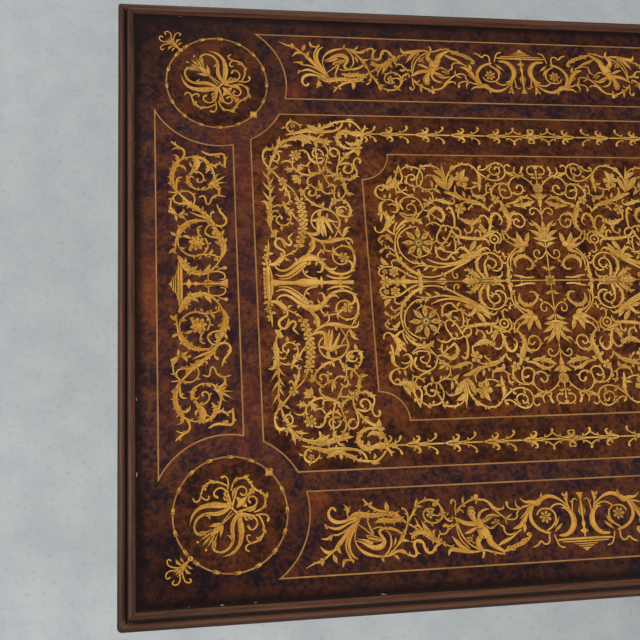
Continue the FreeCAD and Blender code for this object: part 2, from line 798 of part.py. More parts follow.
def make_drawer_ways():
    """Runners under the drawer's sides, guides beside them, stops and the top's glue blocks."""
    way_y = (f"-{LEG_INNER_Y}", LEG_INNER_Y)
    for side, sign in SIDES:
        box(
            f"runner_{side}",
            mirrored_span(sign, RUNNER_INNER, RAIL_INNER_X),
            way_y,
            (FRIEZE_LOW, RUNNER_TOP),
        )
        box(
            f"guide_{side}",
            mirrored_span(sign, LEG_INNER_X, RAIL_INNER_X),
            way_y,
            (RUNNER_TOP, f"{RUNNER_TOP} + guide_height"),
        )
    stop_y = f"({FACE_Y} + drawer_front_thickness + running_gap)"
    stops = [
        box(
            f"{side}_stop",
            about(f"{sign} * stop_spacing / 2", "stop_width"),
            (stop_y, f"{stop_y} + stop_length"),
            (RUNNER_TOP, f"{RUNNER_TOP} + stop_height"),
        )
        for side, sign in SIDES
    ]
    group("drawer_stops", *stops)
    rail_face = f"({RAIL_Y} - rail_thickness / 2)"
    blocks = []
    for number_along in (-1, 0, 1):
        block = doc.addObject("Part::Wedge", f"glue_block_{number_along + 2}")
        middle = f"{number_along} * block_spacing"
        low_x, high_x = about(middle, "block_length")
        bind(
            block,
            Xmin=low_x, Xmax=high_x, X2min=low_x, X2max=high_x,
            Ymin=f"{rail_face} - block_leg", Ymax=rail_face,
            Zmin=f"{FRAME_TOP} - block_leg / 4", Zmax=FRAME_TOP,
            Z2min=f"{FRAME_TOP} - block_leg", Z2max=FRAME_TOP,
        )
        blocks.append(block)
    group("glue_blocks", *blocks)


def make_tails(side, sign):
    """The dovetails on the front end of a drawer side, wide at their tips."""
    root = f"({FACE_Y} + drawer_front_thickness)"
    low_x, high_x = mirrored_span(sign, SIDE_INNER, DRAWER_HALF)
    pitch = f"(({SIDE_HIGH} - {DRAWER_LOW}) / tail_count)"
    tails = []
    for index in range(int(number("tail_count"))):
        low = f"({DRAWER_LOW} + {index} * {pitch} + tail_gap / 2)"
        high = f"({low} + {pitch} - tail_gap)"
        tail = doc.addObject("Part::Wedge", f"{side}_tail_{index + 1}")
        bind(
            tail,
            Xmin=low_x, Xmax=high_x, X2min=low_x, X2max=high_x,
            Ymin=f"{root} - tail_length", Ymax=root,
            Zmin=low, Zmax=high,
            Z2min=f"{low} + tail_flare", Z2max=f"{high} - tail_flare",
        )
        tails.append(tail)
    return tails


def knob_profile():
    """A turned mushroom knob: spigot, base, neck and rounded head, along its own axis."""
    return [
        ("0", "-knob_spigot_length", 0),
        ("knob_spigot_radius", "-knob_spigot_length", 0),
        ("knob_spigot_radius", "0", 0),
        ("knob_base_radius", "0", 0),
        ("knob_base_radius", "knob_base_height", -0.3),
        ("knob_neck_radius", "knob_neck_height", -0.25),
        ("knob_radius", "(knob_neck_height + knob_length) / 2", 0.5),
        ("knob_face_radius", "knob_length", 0),
        ("0", "knob_length", 0),
    ]


def make_drawer():
    root = f"({FACE_Y} + drawer_front_thickness)"
    rear = f"({RAIL_Y} - rail_thickness / 2 - drawer_rear_gap)"
    bottom_low = f"({DRAWER_LOW} + drawer_bottom_rise)"
    bottom_high = f"({bottom_low} + drawer_bottom_thickness)"
    bottom_half = f"({SIDE_INNER} + groove_depth)"
    bottom = box(
        "drawer_bottom",
        (f"-{bottom_half}", bottom_half),
        (f"{root} - groove_depth", rear),
        (bottom_low, bottom_high),
    )
    all_tails = []
    for side, sign in SIDES:
        tails = make_tails(side, sign)
        board = box(
            f"{side}_side_board",
            mirrored_span(sign, SIDE_INNER, DRAWER_HALF),
            (root, rear),
            (DRAWER_LOW, SIDE_HIGH),
        )
        cut(f"drawer_{side}_side", fuse(f"{side}_side_whole", board, *tails), bottom)
        all_tails += tails
    box(
        "drawer_back",
        (f"-{SIDE_INNER}", SIDE_INNER),
        (f"{rear} - drawer_back_thickness", rear),
        (bottom_high, f"{SIDE_HIGH} - drawer_back_drop"),
    )
    knob_z = f"(({DRAWER_LOW} + {DRAWER_HIGH}) / 2)"
    sockets = []
    for side, sign in SIDES:
        x = f"{sign} * knob_spacing / 2"
        knob = turning(f"knob_{side}", knob_profile())
        knob.Placement = FreeCAD.Placement(
            FreeCAD.Vector(), FreeCAD.Rotation(FreeCAD.Vector(1, 0, 0), 90)
        )
        place(knob, x, FACE_Y, knob_z)
        at = (x, FACE_Y, knob_z)
        sockets.append(
            cylinder(
                f"knob_{side}_socket", "knob_spigot_radius", "knob_spigot_length", at, (0, 1, 0)
            )
        )
    front = box(
        "drawer_front_board", (f"-{DRAWER_HALF}", DRAWER_HALF), (FACE_Y, root), (DRAWER_LOW, DRAWER_HIGH)
    )
    cut("drawer_front", front, *all_tails, bottom, *sockets)


make_veneer()
for side_name, side_length, side_reach, side_turn in (
    ("front", "top_length", "top_width / 2", 0),
    ("right", "top_width", "top_length / 2", 90),
    ("back", "top_length", "top_width / 2", 180),
    ("left", "top_width", "top_length / 2", 270),
):
    make_moulding(f"moulding_{side_name}", side_length, side_reach, side_turn)
what_enters_legs = make_rails(make_top_and_fixings())
make_stretchers(what_enters_legs)
make_legs(what_enters_legs)
make_drawer_ways()
make_drawer()
doc.recompute()

PIECES = [
    "top_core", "veneer_ground", "veneer_frame_panel", "veneer_centre_panel",
    "veneer_long_borders", "veneer_end_borders", "veneer_roundels",
    "string_frame_panel", "string_centre_panel", "strings_long_borders", "strings_end_borders",
    "roundel_rings", "moulding_front", "moulding_right", "moulding_back", "moulding_left",
    "back_rail", "left_rail", "right_rail", "front_top_rail", "front_bottom_rail", "rail_pegs",
    "leg_front_left", "leg_front_right", "leg_back_left", "leg_back_right",
    "foot_front_left", "foot_front_right", "foot_back_left", "foot_back_right",
    "left_stretcher", "right_stretcher", "cross_stretcher",
    "runner_left", "runner_right", "guide_left", "guide_right", "kicker_left", "kicker_right",
    "drawer_stops", "glue_blocks", "top_screws",
    "drawer_front", "drawer_left_side", "drawer_right_side", "drawer_back", "drawer_bottom",
    "knob_left", "knob_right",
]

for thing in doc.Objects:
    if "Invalid" in thing.State or "Error" in thing.State:
        raise RuntimeError(f"{thing.Label} could not be made: {thing.State}")
for label in PIECES:
    shape = doc.getObjectsByLabel(label)[0].Shape
    if shape.isNull() or not shape.isValid() or not shape.Solids:
        raise RuntimeError(f"{label} has no valid solid")

os.makedirs("parts", exist_ok=True)
for label in PIECES:
    shape = doc.getObjectsByLabel(label)[0].Shape
    shape.exportStep(f"parts/{label}.step")
    print(f"{label}: {len(shape.Solids)} solid(s), {shape.Volume / 1000:.1f} cm3")
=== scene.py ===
# %% [markdown]
# # A marquetry side table
# The part is a small table whose top is a picture in two woods: pale boxwood scrolls
# let into a dark burr ground, inside a moulded edge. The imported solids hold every
# size, so this lesson only dresses them: it gives each wood its look, and cuts the
# boxwood ornament that is too fine for the solids.

# %% Load the frame
import math

import bmesh
import bpy
from mathutils import Matrix, Vector


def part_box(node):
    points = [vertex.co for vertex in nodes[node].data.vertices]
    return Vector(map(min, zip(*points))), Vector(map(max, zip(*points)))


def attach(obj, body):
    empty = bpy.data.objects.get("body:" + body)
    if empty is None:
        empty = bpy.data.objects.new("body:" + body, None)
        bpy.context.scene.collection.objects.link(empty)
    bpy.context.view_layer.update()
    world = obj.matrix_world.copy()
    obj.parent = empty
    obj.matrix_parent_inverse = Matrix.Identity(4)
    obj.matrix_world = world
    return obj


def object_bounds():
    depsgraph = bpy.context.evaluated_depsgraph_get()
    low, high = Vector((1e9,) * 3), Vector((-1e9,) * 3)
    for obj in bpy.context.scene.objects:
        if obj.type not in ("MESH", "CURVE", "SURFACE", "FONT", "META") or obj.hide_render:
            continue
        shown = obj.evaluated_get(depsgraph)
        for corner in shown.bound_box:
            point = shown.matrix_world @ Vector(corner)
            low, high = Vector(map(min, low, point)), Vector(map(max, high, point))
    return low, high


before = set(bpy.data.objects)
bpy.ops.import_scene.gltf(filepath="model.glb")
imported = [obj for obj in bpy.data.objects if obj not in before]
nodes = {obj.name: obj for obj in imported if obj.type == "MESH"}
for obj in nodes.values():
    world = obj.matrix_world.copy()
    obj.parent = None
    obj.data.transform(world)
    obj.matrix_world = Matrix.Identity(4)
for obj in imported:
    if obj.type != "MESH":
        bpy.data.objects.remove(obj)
cad_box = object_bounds()
MM = 0.001
print("nodes:", len(nodes), "box:", [round(v, 4) for v in cad_box[1] - cad_box[0]])

# %% [markdown]
# ## Camera
# The photograph looks down on the left half of the top from close by, so its lines
# run together quickly. The camera's place and turn were worked out from the
# panel's corners: a table of 900 by 650 mm leaves one place that fits them all.
# Setting the three axes in one matrix keeps the small roll that a track-to would lose.

# %% Camera
camera_right = Vector((0.98691, -0.05985, 0.14939))
camera_up = Vector((0.01643, 0.96085, 0.27659))
camera_back = Vector((-0.16011, -0.27053, 0.94930))
camera_place = Vector((-0.3924, -0.2813, 1.5876))
camera_data = bpy.data.cameras.new("camera")
camera_data.lens = 49.91
camera_data.sensor_width = 36
camera_data.shift_x = -0.0016
camera = bpy.data.objects.new("camera", camera_data)
turn = Matrix((camera_right, camera_up, camera_back)).transposed()
camera.matrix_world = Matrix.Translation(camera_place) @ turn.to_4x4()
bpy.context.scene.collection.objects.link(camera)
bpy.context.scene.camera = camera
print("camera:", [round(v, 3) for v in camera.matrix_world.translation])

# %% [markdown]
# ## Nodes and colours
# Every finish below is a tree of nodes. One small function adds a node: it takes the
# node's settings, and for each input either a plain value or the output that feeds
# it. Colours are picked in sRGB, so a second function turns a hex value to the
# linear numbers that the shader wants.


# %% Small helpers
def colour(hex_value):
    channels = [int(hex_value[i : i + 2], 16) / 255 for i in (0, 2, 4)]
    linear = [c / 12.92 if c <= 0.04045 else ((c + 0.055) / 1.055) ** 2.4 for c in channels]
    return (*linear, 1)


def add(material, kind, inputs, **settings):
    made = material.node_tree.nodes.new(kind)
    for name, value in settings.items():
        setattr(made, name, value)
    for name, value in inputs.items():
        if isinstance(value, bpy.types.NodeSocket):
            material.node_tree.links.new(value, made.inputs[name])
        else:
            made.inputs[name].default_value = colour(value) if isinstance(value, str) else value
    return made.outputs


def finish_of(name):
    material = bpy.data.materials.new(name)
    material.use_nodes = True
    return material, material.node_tree.nodes["Principled BSDF"]


def feed(material, output, shader, socket):
    material.node_tree.links.new(output, shader.inputs[socket])


RGBA = {"data_type": "RGBA"}
SOFT = {"interpolation_type": "SMOOTHSTEP"}
print("helpers ready")

# %% [markdown]
# ## Studio
# The photograph shows a rough pale floor and no hard shadow. A dim grey world fills
# every side, and wide lamps on all four sides do most of the lighting. They stand where
# the polished top can't mirror them into the camera, because a mirrored lamp would lay
# a grey veil over the dark wood, and the world darkens to a ceiling for the same
# reason.

# %% Floor
plaster, shader = finish_of("plaster_floor")
place = add(plaster, "ShaderNodeTexCoord", {})["Object"]
cloud = add(plaster, "ShaderNodeTexNoise", {"Vector": place, "Scale": 1 / (60 * MM), "Detail": 7.0})
grit = add(plaster, "ShaderNodeTexNoise", {"Vector": place, "Scale": 1 / (9 * MM), "Detail": 4.0})
rubbed = add(plaster, "ShaderNodeMapRange", {0: cloud["Fac"], 1: 0.36, 2: 0.64})[0]
pitted = add(plaster, "ShaderNodeMapRange", {0: grit["Fac"], 1: 0.56, 2: 0.7, 4: 0.35})[0]
worn = add(plaster, "ShaderNodeMix", {0: rubbed, 6: "ADB2B4", 7: "B6BABB"}, **RGBA)[2]
spotted = add(plaster, "ShaderNodeMix", {0: pitted, 6: worn, 7: "8C9396"}, **RGBA)[2]
feed(plaster, spotted, shader, "Base Color")
shader.inputs["Roughness"].default_value = 0.85

FLOOR_REACH = 6  # metres from the middle
shape = bmesh.new()
bmesh.ops.create_grid(shape, x_segments=1, y_segments=1, size=FLOOR_REACH)
floor_mesh = bpy.data.meshes.new("floor")
shape.to_mesh(floor_mesh)
shape.free()
floor_mesh.materials.append(plaster)
floor = bpy.data.objects.new("floor", floor_mesh)
bpy.context.scene.collection.objects.link(floor)
print("floor faces:", len(floor_mesh.polygons))

# %% World and lamps
world = bpy.data.worlds.new("studio")
bpy.context.scene.world = world
world.use_nodes = True
backdrop = world.node_tree.nodes["Background"]
backdrop.inputs["Color"].default_value = colour("EEF1F4")
upward = add(world, "ShaderNodeTexCoord", {})["Generated"]
upward = add(world, "ShaderNodeSeparateXYZ", {0: upward})["Z"]
ceiling = add(world, "ShaderNodeMapRange", {0: upward, 1: 0.2, 2: 0.8, 3: 0.36, 4: 0.05}, **SOFT)[0]
feed(world, ceiling, backdrop, "Strength")
LAMP_AIM = Vector((0, 0, 0.6))
# Name, place in metres and power in watts.
LAMPS = (
    ("left_lamp", (-2.6, 0.2, 2.4), 74),
    ("front_lamp", (0.2, -2.7, 2.5), 44),
    ("right_lamp", (2.9, -0.9, 2.2), 46),
    ("back_lamp", (-0.4, 3.1, 1.7), 40),
)
for name, spot, power in LAMPS:
    lamp = bpy.data.lights.new(name, "AREA")
    lamp.size = 1.8
    lamp.energy = power
    holder = bpy.data.objects.new(name, lamp)
    aim = LAMP_AIM - Vector(spot)
    turn = aim.to_track_quat("-Z", "Y").to_matrix().to_4x4()
    holder.matrix_world = Matrix.Translation(spot) @ turn
    bpy.context.scene.collection.objects.link(holder)
bpy.context.scene.view_settings.view_transform = "Standard"
print("studio: a world and", len(LAMPS), "lamps")

# %% [markdown]
# ## Burr walnut
# The ground is burr walnut, sawn from a growth full of buds. It has no straight grain:
# clouds of red-brown a few centimetres across, a restless fleck of a few millimetres,
# dark pin-sized eyes and open pores. Noises and a cell pattern, each with its real
# size, give that. The sheets come from different leaves, so each bay turns the pattern
# its own way, and the sheets inside are redder than the outer ground.

# %% Burr veneer
WAX_SHINE = 0.28


def burr_walnut(name, turn, shift, deep, warm):
    # Polished burr: dark, warm and cloudy, with a soft wax shine.
    material, shader = finish_of(name)
    place = add(material, "ShaderNodeTexCoord", {})["Object"]
    spin = {"Vector": place, "Rotation": (0, 0, turn), "Location": shift}
    laid = add(material, "ShaderNodeMapping", spin)[0]
    cloud = {"Vector": laid, "Scale": 1 / (24 * MM), "Detail": 4.0, "Roughness": 0.6}
    cloud = add(material, "ShaderNodeTexNoise", cloud)["Fac"]
    fleck = {"Vector": laid, "Scale": 1 / (4.5 * MM), "Detail": 4.0, "Roughness": 0.6}
    fleck = add(material, "ShaderNodeTexNoise", fleck)["Fac"]
    pore = {"Vector": laid, "Scale": 1 / (1.5 * MM), "Detail": 2.0}
    pore = add(material, "ShaderNodeTexNoise", pore)["Fac"]
    eyes = {"Vector": laid, "Scale": 1 / (5 * MM)}
    eyes = add(material, "ShaderNodeTexVoronoi", eyes)["Distance"]
    drift = add(material, "ShaderNodeMath", {0: cloud, 1: 0.65}, operation="MULTIPLY")[0]
    figure = {0: fleck, 1: 0.7, 2: drift}
    figure = add(material, "ShaderNodeMath", figure, operation="MULTIPLY_ADD")[0]
    glow = add(material, "ShaderNodeMapRange", {0: figure, 1: 0.52, 2: 0.84}, **SOFT)[0]
    ground = add(material, "ShaderNodeMix", {0: glow, 6: deep, 7: warm}, **RGBA)[2]
    pin = add(material, "ShaderNodeMapRange", {0: eyes, 1: 0.1, 2: 0.26, 3: 0.75, 4: 0.0})[0]
    eyed = add(material, "ShaderNodeMix", {0: pin, 6: ground, 7: "160B0B"}, **RGBA)[2]
    hole = add(material, "ShaderNodeMapRange", {0: pore, 1: 0.54, 2: 0.7, 4: 0.5})[0]
    pored = add(material, "ShaderNodeMix", {0: hole, 6: eyed, 7: "190D0C"}, **RGBA)[2]
    feed(material, pored, shader, "Base Color")
    wear = add(material, "ShaderNodeMapRange", {0: fleck, 3: 0.24, 4: 0.36})[0]
    feed(material, wear, shader, "Roughness")
    dents = {"Height": pore, "Strength": 0.05, "Distance": 0.1 * MM}
    feed(material, add(material, "ShaderNodeBump", dents)[0], shader, "Normal")
    shader.inputs["Specular IOR Level"].default_value = WAX_SHINE
    return material, pored, shader


burr_ground = burr_walnut("burr_walnut_ground", 0.0, (0, 0, 0), "271C24", "663823")
burr_long = burr_walnut("burr_long", 1.9, (0.5, 0.2, 0), "27161B", "5C321F")
burr_frame = burr_walnut("burr_frame", 0.5, (0.3, 0.1, 0), "361C1A", "753F20")
burr = {
    "veneer_ground": burr_ground[0],
    "veneer_frame_panel": burr_frame[0],
    "veneer_centre_panel": burr_walnut("burr_centre", 1.1, (0.1, 0.4, 0), "311914", "733D1B")[0],
    "veneer_long_borders": burr_long[0],
    "veneer_end_borders": burr_walnut("burr_end", 2.6, (0.1, 0.7, 0), "2D1A20", "623622")[0],
    "veneer_roundels": burr_walnut("burr_roundel", 3.3, (0.8, 0.4, 0), "261513", "5E301B")[0],
}
print("burr sheets:", len(burr))

# %% [markdown]
# A few large clouds follow the sheets in the photograph: warm ones at the ends of the
# ground and of the long borders, dark ones in the corners. The ground darkens in the last
# few millimetres before the moulding, and along the front and back, and so does the frame
# panel beside its rows of husks. How far a spot lies from the table's middle comes from
# the Object coordinates, which are the table's own.

# %% Clouds and darker bands
VENEER_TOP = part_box("veneer_ground")[1].z


def tinted(sheet, share, tint, blend="MIX"):
    material, tone, shader = sheet
    tone = {0: share, 6: tone, 7: tint}
    tone = add(material, "ShaderNodeMix", tone, blend_type=blend, **RGBA)[2]
    feed(material, tone, shader, "Base Color")
    return material, tone, shader


def cloud_over(sheet, x, y, radius, tint, blend):
    # A cloud at one place of each quarter, which adds its tint or takes it away.
    material = sheet[0]
    spot = add(material, "ShaderNodeTexCoord", {})["Object"]
    spot = add(material, "ShaderNodeVectorMath", {0: spot}, operation="ABSOLUTE")[0]
    away = {0: spot, 1: (x * MM, y * MM, VENEER_TOP)}
    away = add(material, "ShaderNodeVectorMath", away, operation="DISTANCE")["Value"]
    near = {0: away, 1: 0.0, 2: radius * MM, 3: 1.0, 4: 0.0}
    near = add(material, "ShaderNodeMapRange", near, **SOFT)[0]
    return tinted(sheet, near, tint, blend)


def darken(sheet, axis, start, stop, strength):
    # Darker between two distances from the table's middle, in millimetres.
    material = sheet[0]
    spot = add(material, "ShaderNodeTexCoord", {})["Object"]
    spot = add(material, "ShaderNodeSeparateXYZ", {0: spot})[axis]
    away = add(material, "ShaderNodeMath", {0: spot}, operation="ABSOLUTE")[0]
    band = {0: away, 1: start * MM, 2: stop * MM, 4: strength}
    band = add(material, "ShaderNodeMapRange", band, **SOFT)[0]
    return tinted(sheet, band, "150B0B")


burr_ground = cloud_over(burr_ground, 425, -4, 75, "522500", "ADD")
burr_ground = cloud_over(burr_ground, 322, 125, 70, "421600", "ADD")
burr_ground = cloud_over(burr_ground, 322, 0, 60, "2C0C00", "ADD")
burr_ground = cloud_over(burr_ground, 431, 306, 170, "CCC6C6", "MULTIPLY")
burr_long = cloud_over(burr_long, 262, 218, 18, "542200", "ADD")
burr_ground = darken(burr_ground, "Y", 150, 292, 0.55)
burr_ground = darken(burr_ground, "X", 421, 430.5, 0.85)
burr_ground = darken(burr_ground, "Y", 296, 305.5, 0.85)
burr_frame = darken(burr_frame, "Y", 136, 152, 0.36)
print("clouds and dirt laid on the sheets, whose top lies at", round(VENEER_TOP / MM, 3), "mm")

# %% [markdown]
# ## Boxwood
# The ornament and its lines are boxwood, a hard yellow wood with hardly any figure,
# so its colour drifts only from strip to strip. A dark saw line runs round every piece,
# one edge of the broad pieces is scorched in hot sand, and the leaves are engraved.
# The strokes below carry attributes for that, in millimetres: `side` is the distance
# from the ribbon's middle line, `inner` how far out the pale wood goes, and `along` the
# way from the ribbon's start. `vein` tells a veined leaf, a graver's line and a piece
# stained green from plain wood. A solid without them reads 0, the plain middle of a
# strip.

# %% Boxwood
PLAIN, VEINED, GRAVED, STAINED = range(4)
TRAITS = ("side", "inner", "along", "vein")


def box_wood(name, deep, pale):
    # Waxed boxwood: flat gold, browner at its sawn edges.
    material, shader = finish_of(name)
    place = add(material, "ShaderNodeTexCoord", {})["Object"]
    strip = {"Vector": place, "Scale": 1 / (22 * MM), "Detail": 3.0, "Roughness": 0.6}
    strip = add(material, "ShaderNodeTexNoise", strip)["Fac"]
    grain = {"Vector": place, "Scale": 1 / (1.8 * MM), "Detail": 3.0}
    grain = add(material, "ShaderNodeTexNoise", grain)["Fac"]
    drift = add(material, "ShaderNodeMapRange", {0: strip, 1: 0.34, 2: 0.66})[0]
    gold = add(material, "ShaderNodeMix", {0: drift, 6: deep, 7: pale}, **RGBA)[2]
    spots = add(material, "ShaderNodeMapRange", {0: grain, 1: 0.5, 2: 0.72, 4: 0.45})[0]
    aged = add(material, "ShaderNodeMix", {0: spots, 6: gold, 7: "8E5510"}, **RGBA)[2]
    side, inner, along, vein = (
        add(material, "ShaderNodeAttribute", {}, attribute_name=trait)["Fac"]
        for trait in TRAITS
    )
    out = add(material, "ShaderNodeMath", {0: side}, operation="ABSOLUTE")[0]
    leafy = add(material, "ShaderNodeMath", {0: vein, 1: VEINED}, operation="COMPARE")[0]
    broad = add(material, "ShaderNodeMapRange", {0: inner, 1: 1.4, 2: 2.6})[0]
    # Hot sand: browner towards one edge of the broad pieces.
    edge = add(material, "ShaderNodeMath", {0: inner, 1: 0.2}, operation="MAXIMUM")[0]
    edge = add(material, "ShaderNodeMath", {0: side, 1: edge}, operation="DIVIDE")[0]
    burnt = add(material, "ShaderNodeMapRange", {0: edge, 1: 0.0, 2: 1.0, 4: 0.5}, **SOFT)[0]
    burnt = add(material, "ShaderNodeMath", {0: burnt, 1: broad}, operation="MULTIPLY")[0]
    tone = add(material, "ShaderNodeMix", {0: burnt, 6: aged, 7: "7C4206"}, **RGBA)[2]
    # Engraving: a rib, and slanting veins every 5.6 mm, drawn wider than real cuts.
    rib = add(material, "ShaderNodeMath", {0: out, 1: 0.35}, operation="LESS_THAN")[0]
    slant = {0: out, 1: 1.2, 2: along}
    slant = add(material, "ShaderNodeMath", slant, operation="MULTIPLY_ADD")[0]
    slant = add(material, "ShaderNodeMath", {0: slant, 1: 2.8}, operation="PINGPONG")[0]
    barbs = add(material, "ShaderNodeMath", {0: slant, 1: 0.55}, operation="LESS_THAN")[0]
    barbs = add(material, "ShaderNodeMath", {0: barbs, 1: broad}, operation="MULTIPLY")[0]
    cuts = add(material, "ShaderNodeMath", {0: rib, 1: barbs}, operation="MAXIMUM")[0]
    cuts = add(material, "ShaderNodeMath", {0: cuts, 1: leafy}, operation="MULTIPLY")[0]
    cuts = add(material, "ShaderNodeMath", {0: cuts, 1: 0.38}, operation="MULTIPLY")[0]
    tone = add(material, "ShaderNodeMix", {0: cuts, 6: tone, 7: "402006"}, **RGBA)[2]
    graved = add(material, "ShaderNodeMath", {0: vein, 1: GRAVED}, operation="COMPARE")[0]
    tone = add(material, "ShaderNodeMix", {0: graved, 6: tone, 7: "3E1E06"}, **RGBA)[2]
    stained = add(material, "ShaderNodeMath", {0: vein, 1: STAINED}, operation="COMPARE")[0]
    tone = add(material, "ShaderNodeMix", {0: stained, 6: tone, 7: "7A6730"}, **RGBA)[2]
    scorch = add(material, "ShaderNodeMath", {0: out, 1: inner}, operation="GREATER_THAN")[0]
    tone = add(material, "ShaderNodeMix", {0: scorch, 6: tone, 7: "2A1200"}, **RGBA)[2]
    feed(material, tone, shader, "Base Color")
    shader.inputs["Roughness"].default_value = 0.35
    shader.inputs["Specular IOR Level"].default_value = WAX_SHINE
    return material


boxwood = box_wood("boxwood", "B77F33", "D59F48")
boxwood_pale = box_wood("boxwood_pale", "BF8A3B", "DFAC58")
boxwood_line = box_wood("boxwood_stringing", "906434", "A97C48")
print("boxwood ready")

# %% [markdown]
# ## Walnut in the length
# The moulding, legs and rails are straight-grained walnut. A noise that is stretched
# along the wood and squeezed across it gives growth lines, and a second, much finer
# one the open pores. The stretch needs an axis, so the function takes the direction
# in which each piece was sawn.


# %% Walnut
def walnut(name, along, deep, pale, pore_tone):
    # Waxed walnut: brown growth lines, short dark pores, a low shine.
    material, shader = finish_of(name)
    place = add(material, "ShaderNodeTexCoord", {})["Object"]
    growth_size = [1 / (3 * MM)] * 3
    growth_size[along] = 1 / (90 * MM)
    pore_size = [1 / (0.7 * MM)] * 3
    pore_size[along] = 1 / (11 * MM)
    laid = add(material, "ShaderNodeMapping", {"Vector": place, "Scale": growth_size})[0]
    growth = {"Vector": laid, "Scale": 1.0, "Detail": 5.0, "Roughness": 0.65}
    growth = add(material, "ShaderNodeTexNoise", growth)["Fac"]
    laid = add(material, "ShaderNodeMapping", {"Vector": place, "Scale": pore_size})[0]
    pore = add(material, "ShaderNodeTexNoise", {"Vector": laid, "Scale": 1.0, "Detail": 2.0})["Fac"]
    lines = add(material, "ShaderNodeMapRange", {0: growth, 1: 0.34, 2: 0.66})[0]
    wood = add(material, "ShaderNodeMix", {0: lines, 6: deep, 7: pale}, **RGBA)[2]
    opened = add(material, "ShaderNodeMapRange", {0: pore, 1: 0.54, 2: 0.7, 4: 0.6})[0]
    pored = add(material, "ShaderNodeMix", {0: opened, 6: wood, 7: pore_tone}, **RGBA)[2]
    feed(material, pored, shader, "Base Color")
    polish = add(material, "ShaderNodeMapRange", {0: growth, 3: 0.46, 4: 0.64})[0]
    feed(material, polish, shader, "Roughness")
    dents = {"Height": pore, "Strength": 0.15, "Distance": 0.12 * MM}
    feed(material, add(material, "ShaderNodeBump", dents)[0], shader, "Normal")
    shader.inputs["IOR"].default_value = 1.5
    return material, pored, shader


X, Y, Z = range(3)
WALNUT = ("392110", "6C4420", "190E07")
walnut_x = walnut("walnut_along_x", X, *WALNUT)[0]
walnut_y = walnut("walnut_along_y", Y, *WALNUT)[0]
walnut_z = walnut("walnut_along_z", Z, *WALNUT)[0]
print("walnut in three directions")

# %% [markdown]
# ## The moulded edge
# Shade and light are painted into the moulding's colour: dark in its groove, in the quirk
# beside the veneer and under the outer edge of its nose, and pale on the nose's inner
# slope. The wood darkens towards the mitres, the open mitres are dark joints, and dust
# sits in the quirk and in the open mitres. Each of those lies at a known distance from
# the table's edge or mitre, so a band of that distance picks it out: the painted shade
# and highlight and the darker wood first, then dust where a noise allows it.

# %% Painted shade and highlight, and dust on the moulding
X_EDGE, Y_EDGE = cad_box[1].x, cad_box[1].y


def band_at(material, distance, centre, half, soft, strength):
    # Strength within half of the centre, fading over soft; lengths in millimetres.
    off = {0: distance, 1: centre * MM}
    off = add(material, "ShaderNodeMath", off, operation="SUBTRACT")[0]
    off = add(material, "ShaderNodeMath", {0: off}, operation="ABSOLUTE")[0]
    band = {0: off, 1: half * MM, 2: (half + soft) * MM, 3: strength, 4: 0.0}
    return add(material, "ShaderNodeMapRange", band, **SOFT)[0]


def moulding_walnut(name, along, rim, groove, deep="321D13", pale="6B4128"):
    # Old dry wax: redder than the legs and hardly shining, with shade painted into the hollows.
    material, tone, shader = walnut(name, along, deep, pale, "1C100A")
    place = add(material, "ShaderNodeTexCoord", {})["Object"]
    spot = add(material, "ShaderNodeSeparateXYZ", {0: place})
    inward = []
    for axis, edge in (("X", X_EDGE), ("Y", Y_EDGE)):
        away = add(material, "ShaderNodeMath", {0: spot[axis]}, operation="ABSOLUTE")[0]
        inward.append(add(material, "ShaderNodeMath", {0: edge, 1: away}, operation="SUBTRACT")[0])
    depth = inward[1 - along]
    mitre = add(material, "ShaderNodeMath", {0: inward[0], 1: inward[1]}, operation="SUBTRACT")[0]
    painted_shade_and_stains = (
        (depth, 6.4, 1.8, 1.2, 0.8, "805A46"),  # painted highlight on the nose's inner slope
        # painted shade in the groove
        (depth, groove, 0.9, 0.9, 0.96, "190B05"),
        (depth, 18.6, 1.0, 1.4, 0.94, "21130B"),  # painted shade in the quirk beside the veneer
        # painted shade under the outer edge of the nose
        (depth, 0.0, rim, 0.9, 0.7, "2E180C"),
        (mitre, 0.0, 15, 75, 0.4, "1C100A"),  # wood that darkens towards the mitre
        (mitre, 0.0, 0.25, 0.35, 0.85, "120B08"),  # the open mitre itself
    )
    # Each band mixes in its tone: painted shade, painted highlight, darker wood or a dark joint.
    for *shape, band_tone in painted_shade_and_stains:
        band = band_at(material, *shape)
        tone = add(material, "ShaderNodeMix", {0: band, 6: tone, 7: band_tone}, **RGBA)[2]
    speck = add(material, "ShaderNodeTexNoise", {"Vector": place, "Scale": 1 / (10 * MM)})["Fac"]
    dusty = add(material, "ShaderNodeMapRange", {0: speck, 1: 0.68, 2: 0.74})[0]
    for distance, centre, half in ((depth, 18.3, 0.5), (mitre, 0.3, 0.25)):
        band = band_at(material, distance, centre, half, 0.3, 0.75)
        band = add(material, "ShaderNodeMath", {0: band, 1: dusty}, operation="MULTIPLY")[0]
        tone = add(material, "ShaderNodeMix", {0: band, 6: tone, 7: "B9B6AE"}, **RGBA)[2]
    feed(material, tone, shader, "Base Color")
    shader.inputs["Specular IOR Level"].default_value = 0.2
    return material


# The copies differ in the widths and places of painted shade, set to how light falls on each side;
# the back one is also redder.
edge_x = moulding_walnut("moulding_walnut_along_x", X, 2.6, 9.9)
edge_y = moulding_walnut("moulding_walnut_along_y", Y, 2.0, 9.5)
edge_back = moulding_walnut("moulding_walnut_back", X, 0.6, 9.2, "2C160B", "66361B")
print("moulding walnut in two directions, and a redder one at the back")

# %% [markdown]
# ## Oak, pine and iron
# Nobody sees the carcase wood until the drawer is out, so a maker saves on it: oak for
# the drawer's linings and runners, pine for the core under the veneer, and plain iron
# screws. They reuse the walnut tree with paler colours, and the iron is a dark metal
# with a patchy polish.

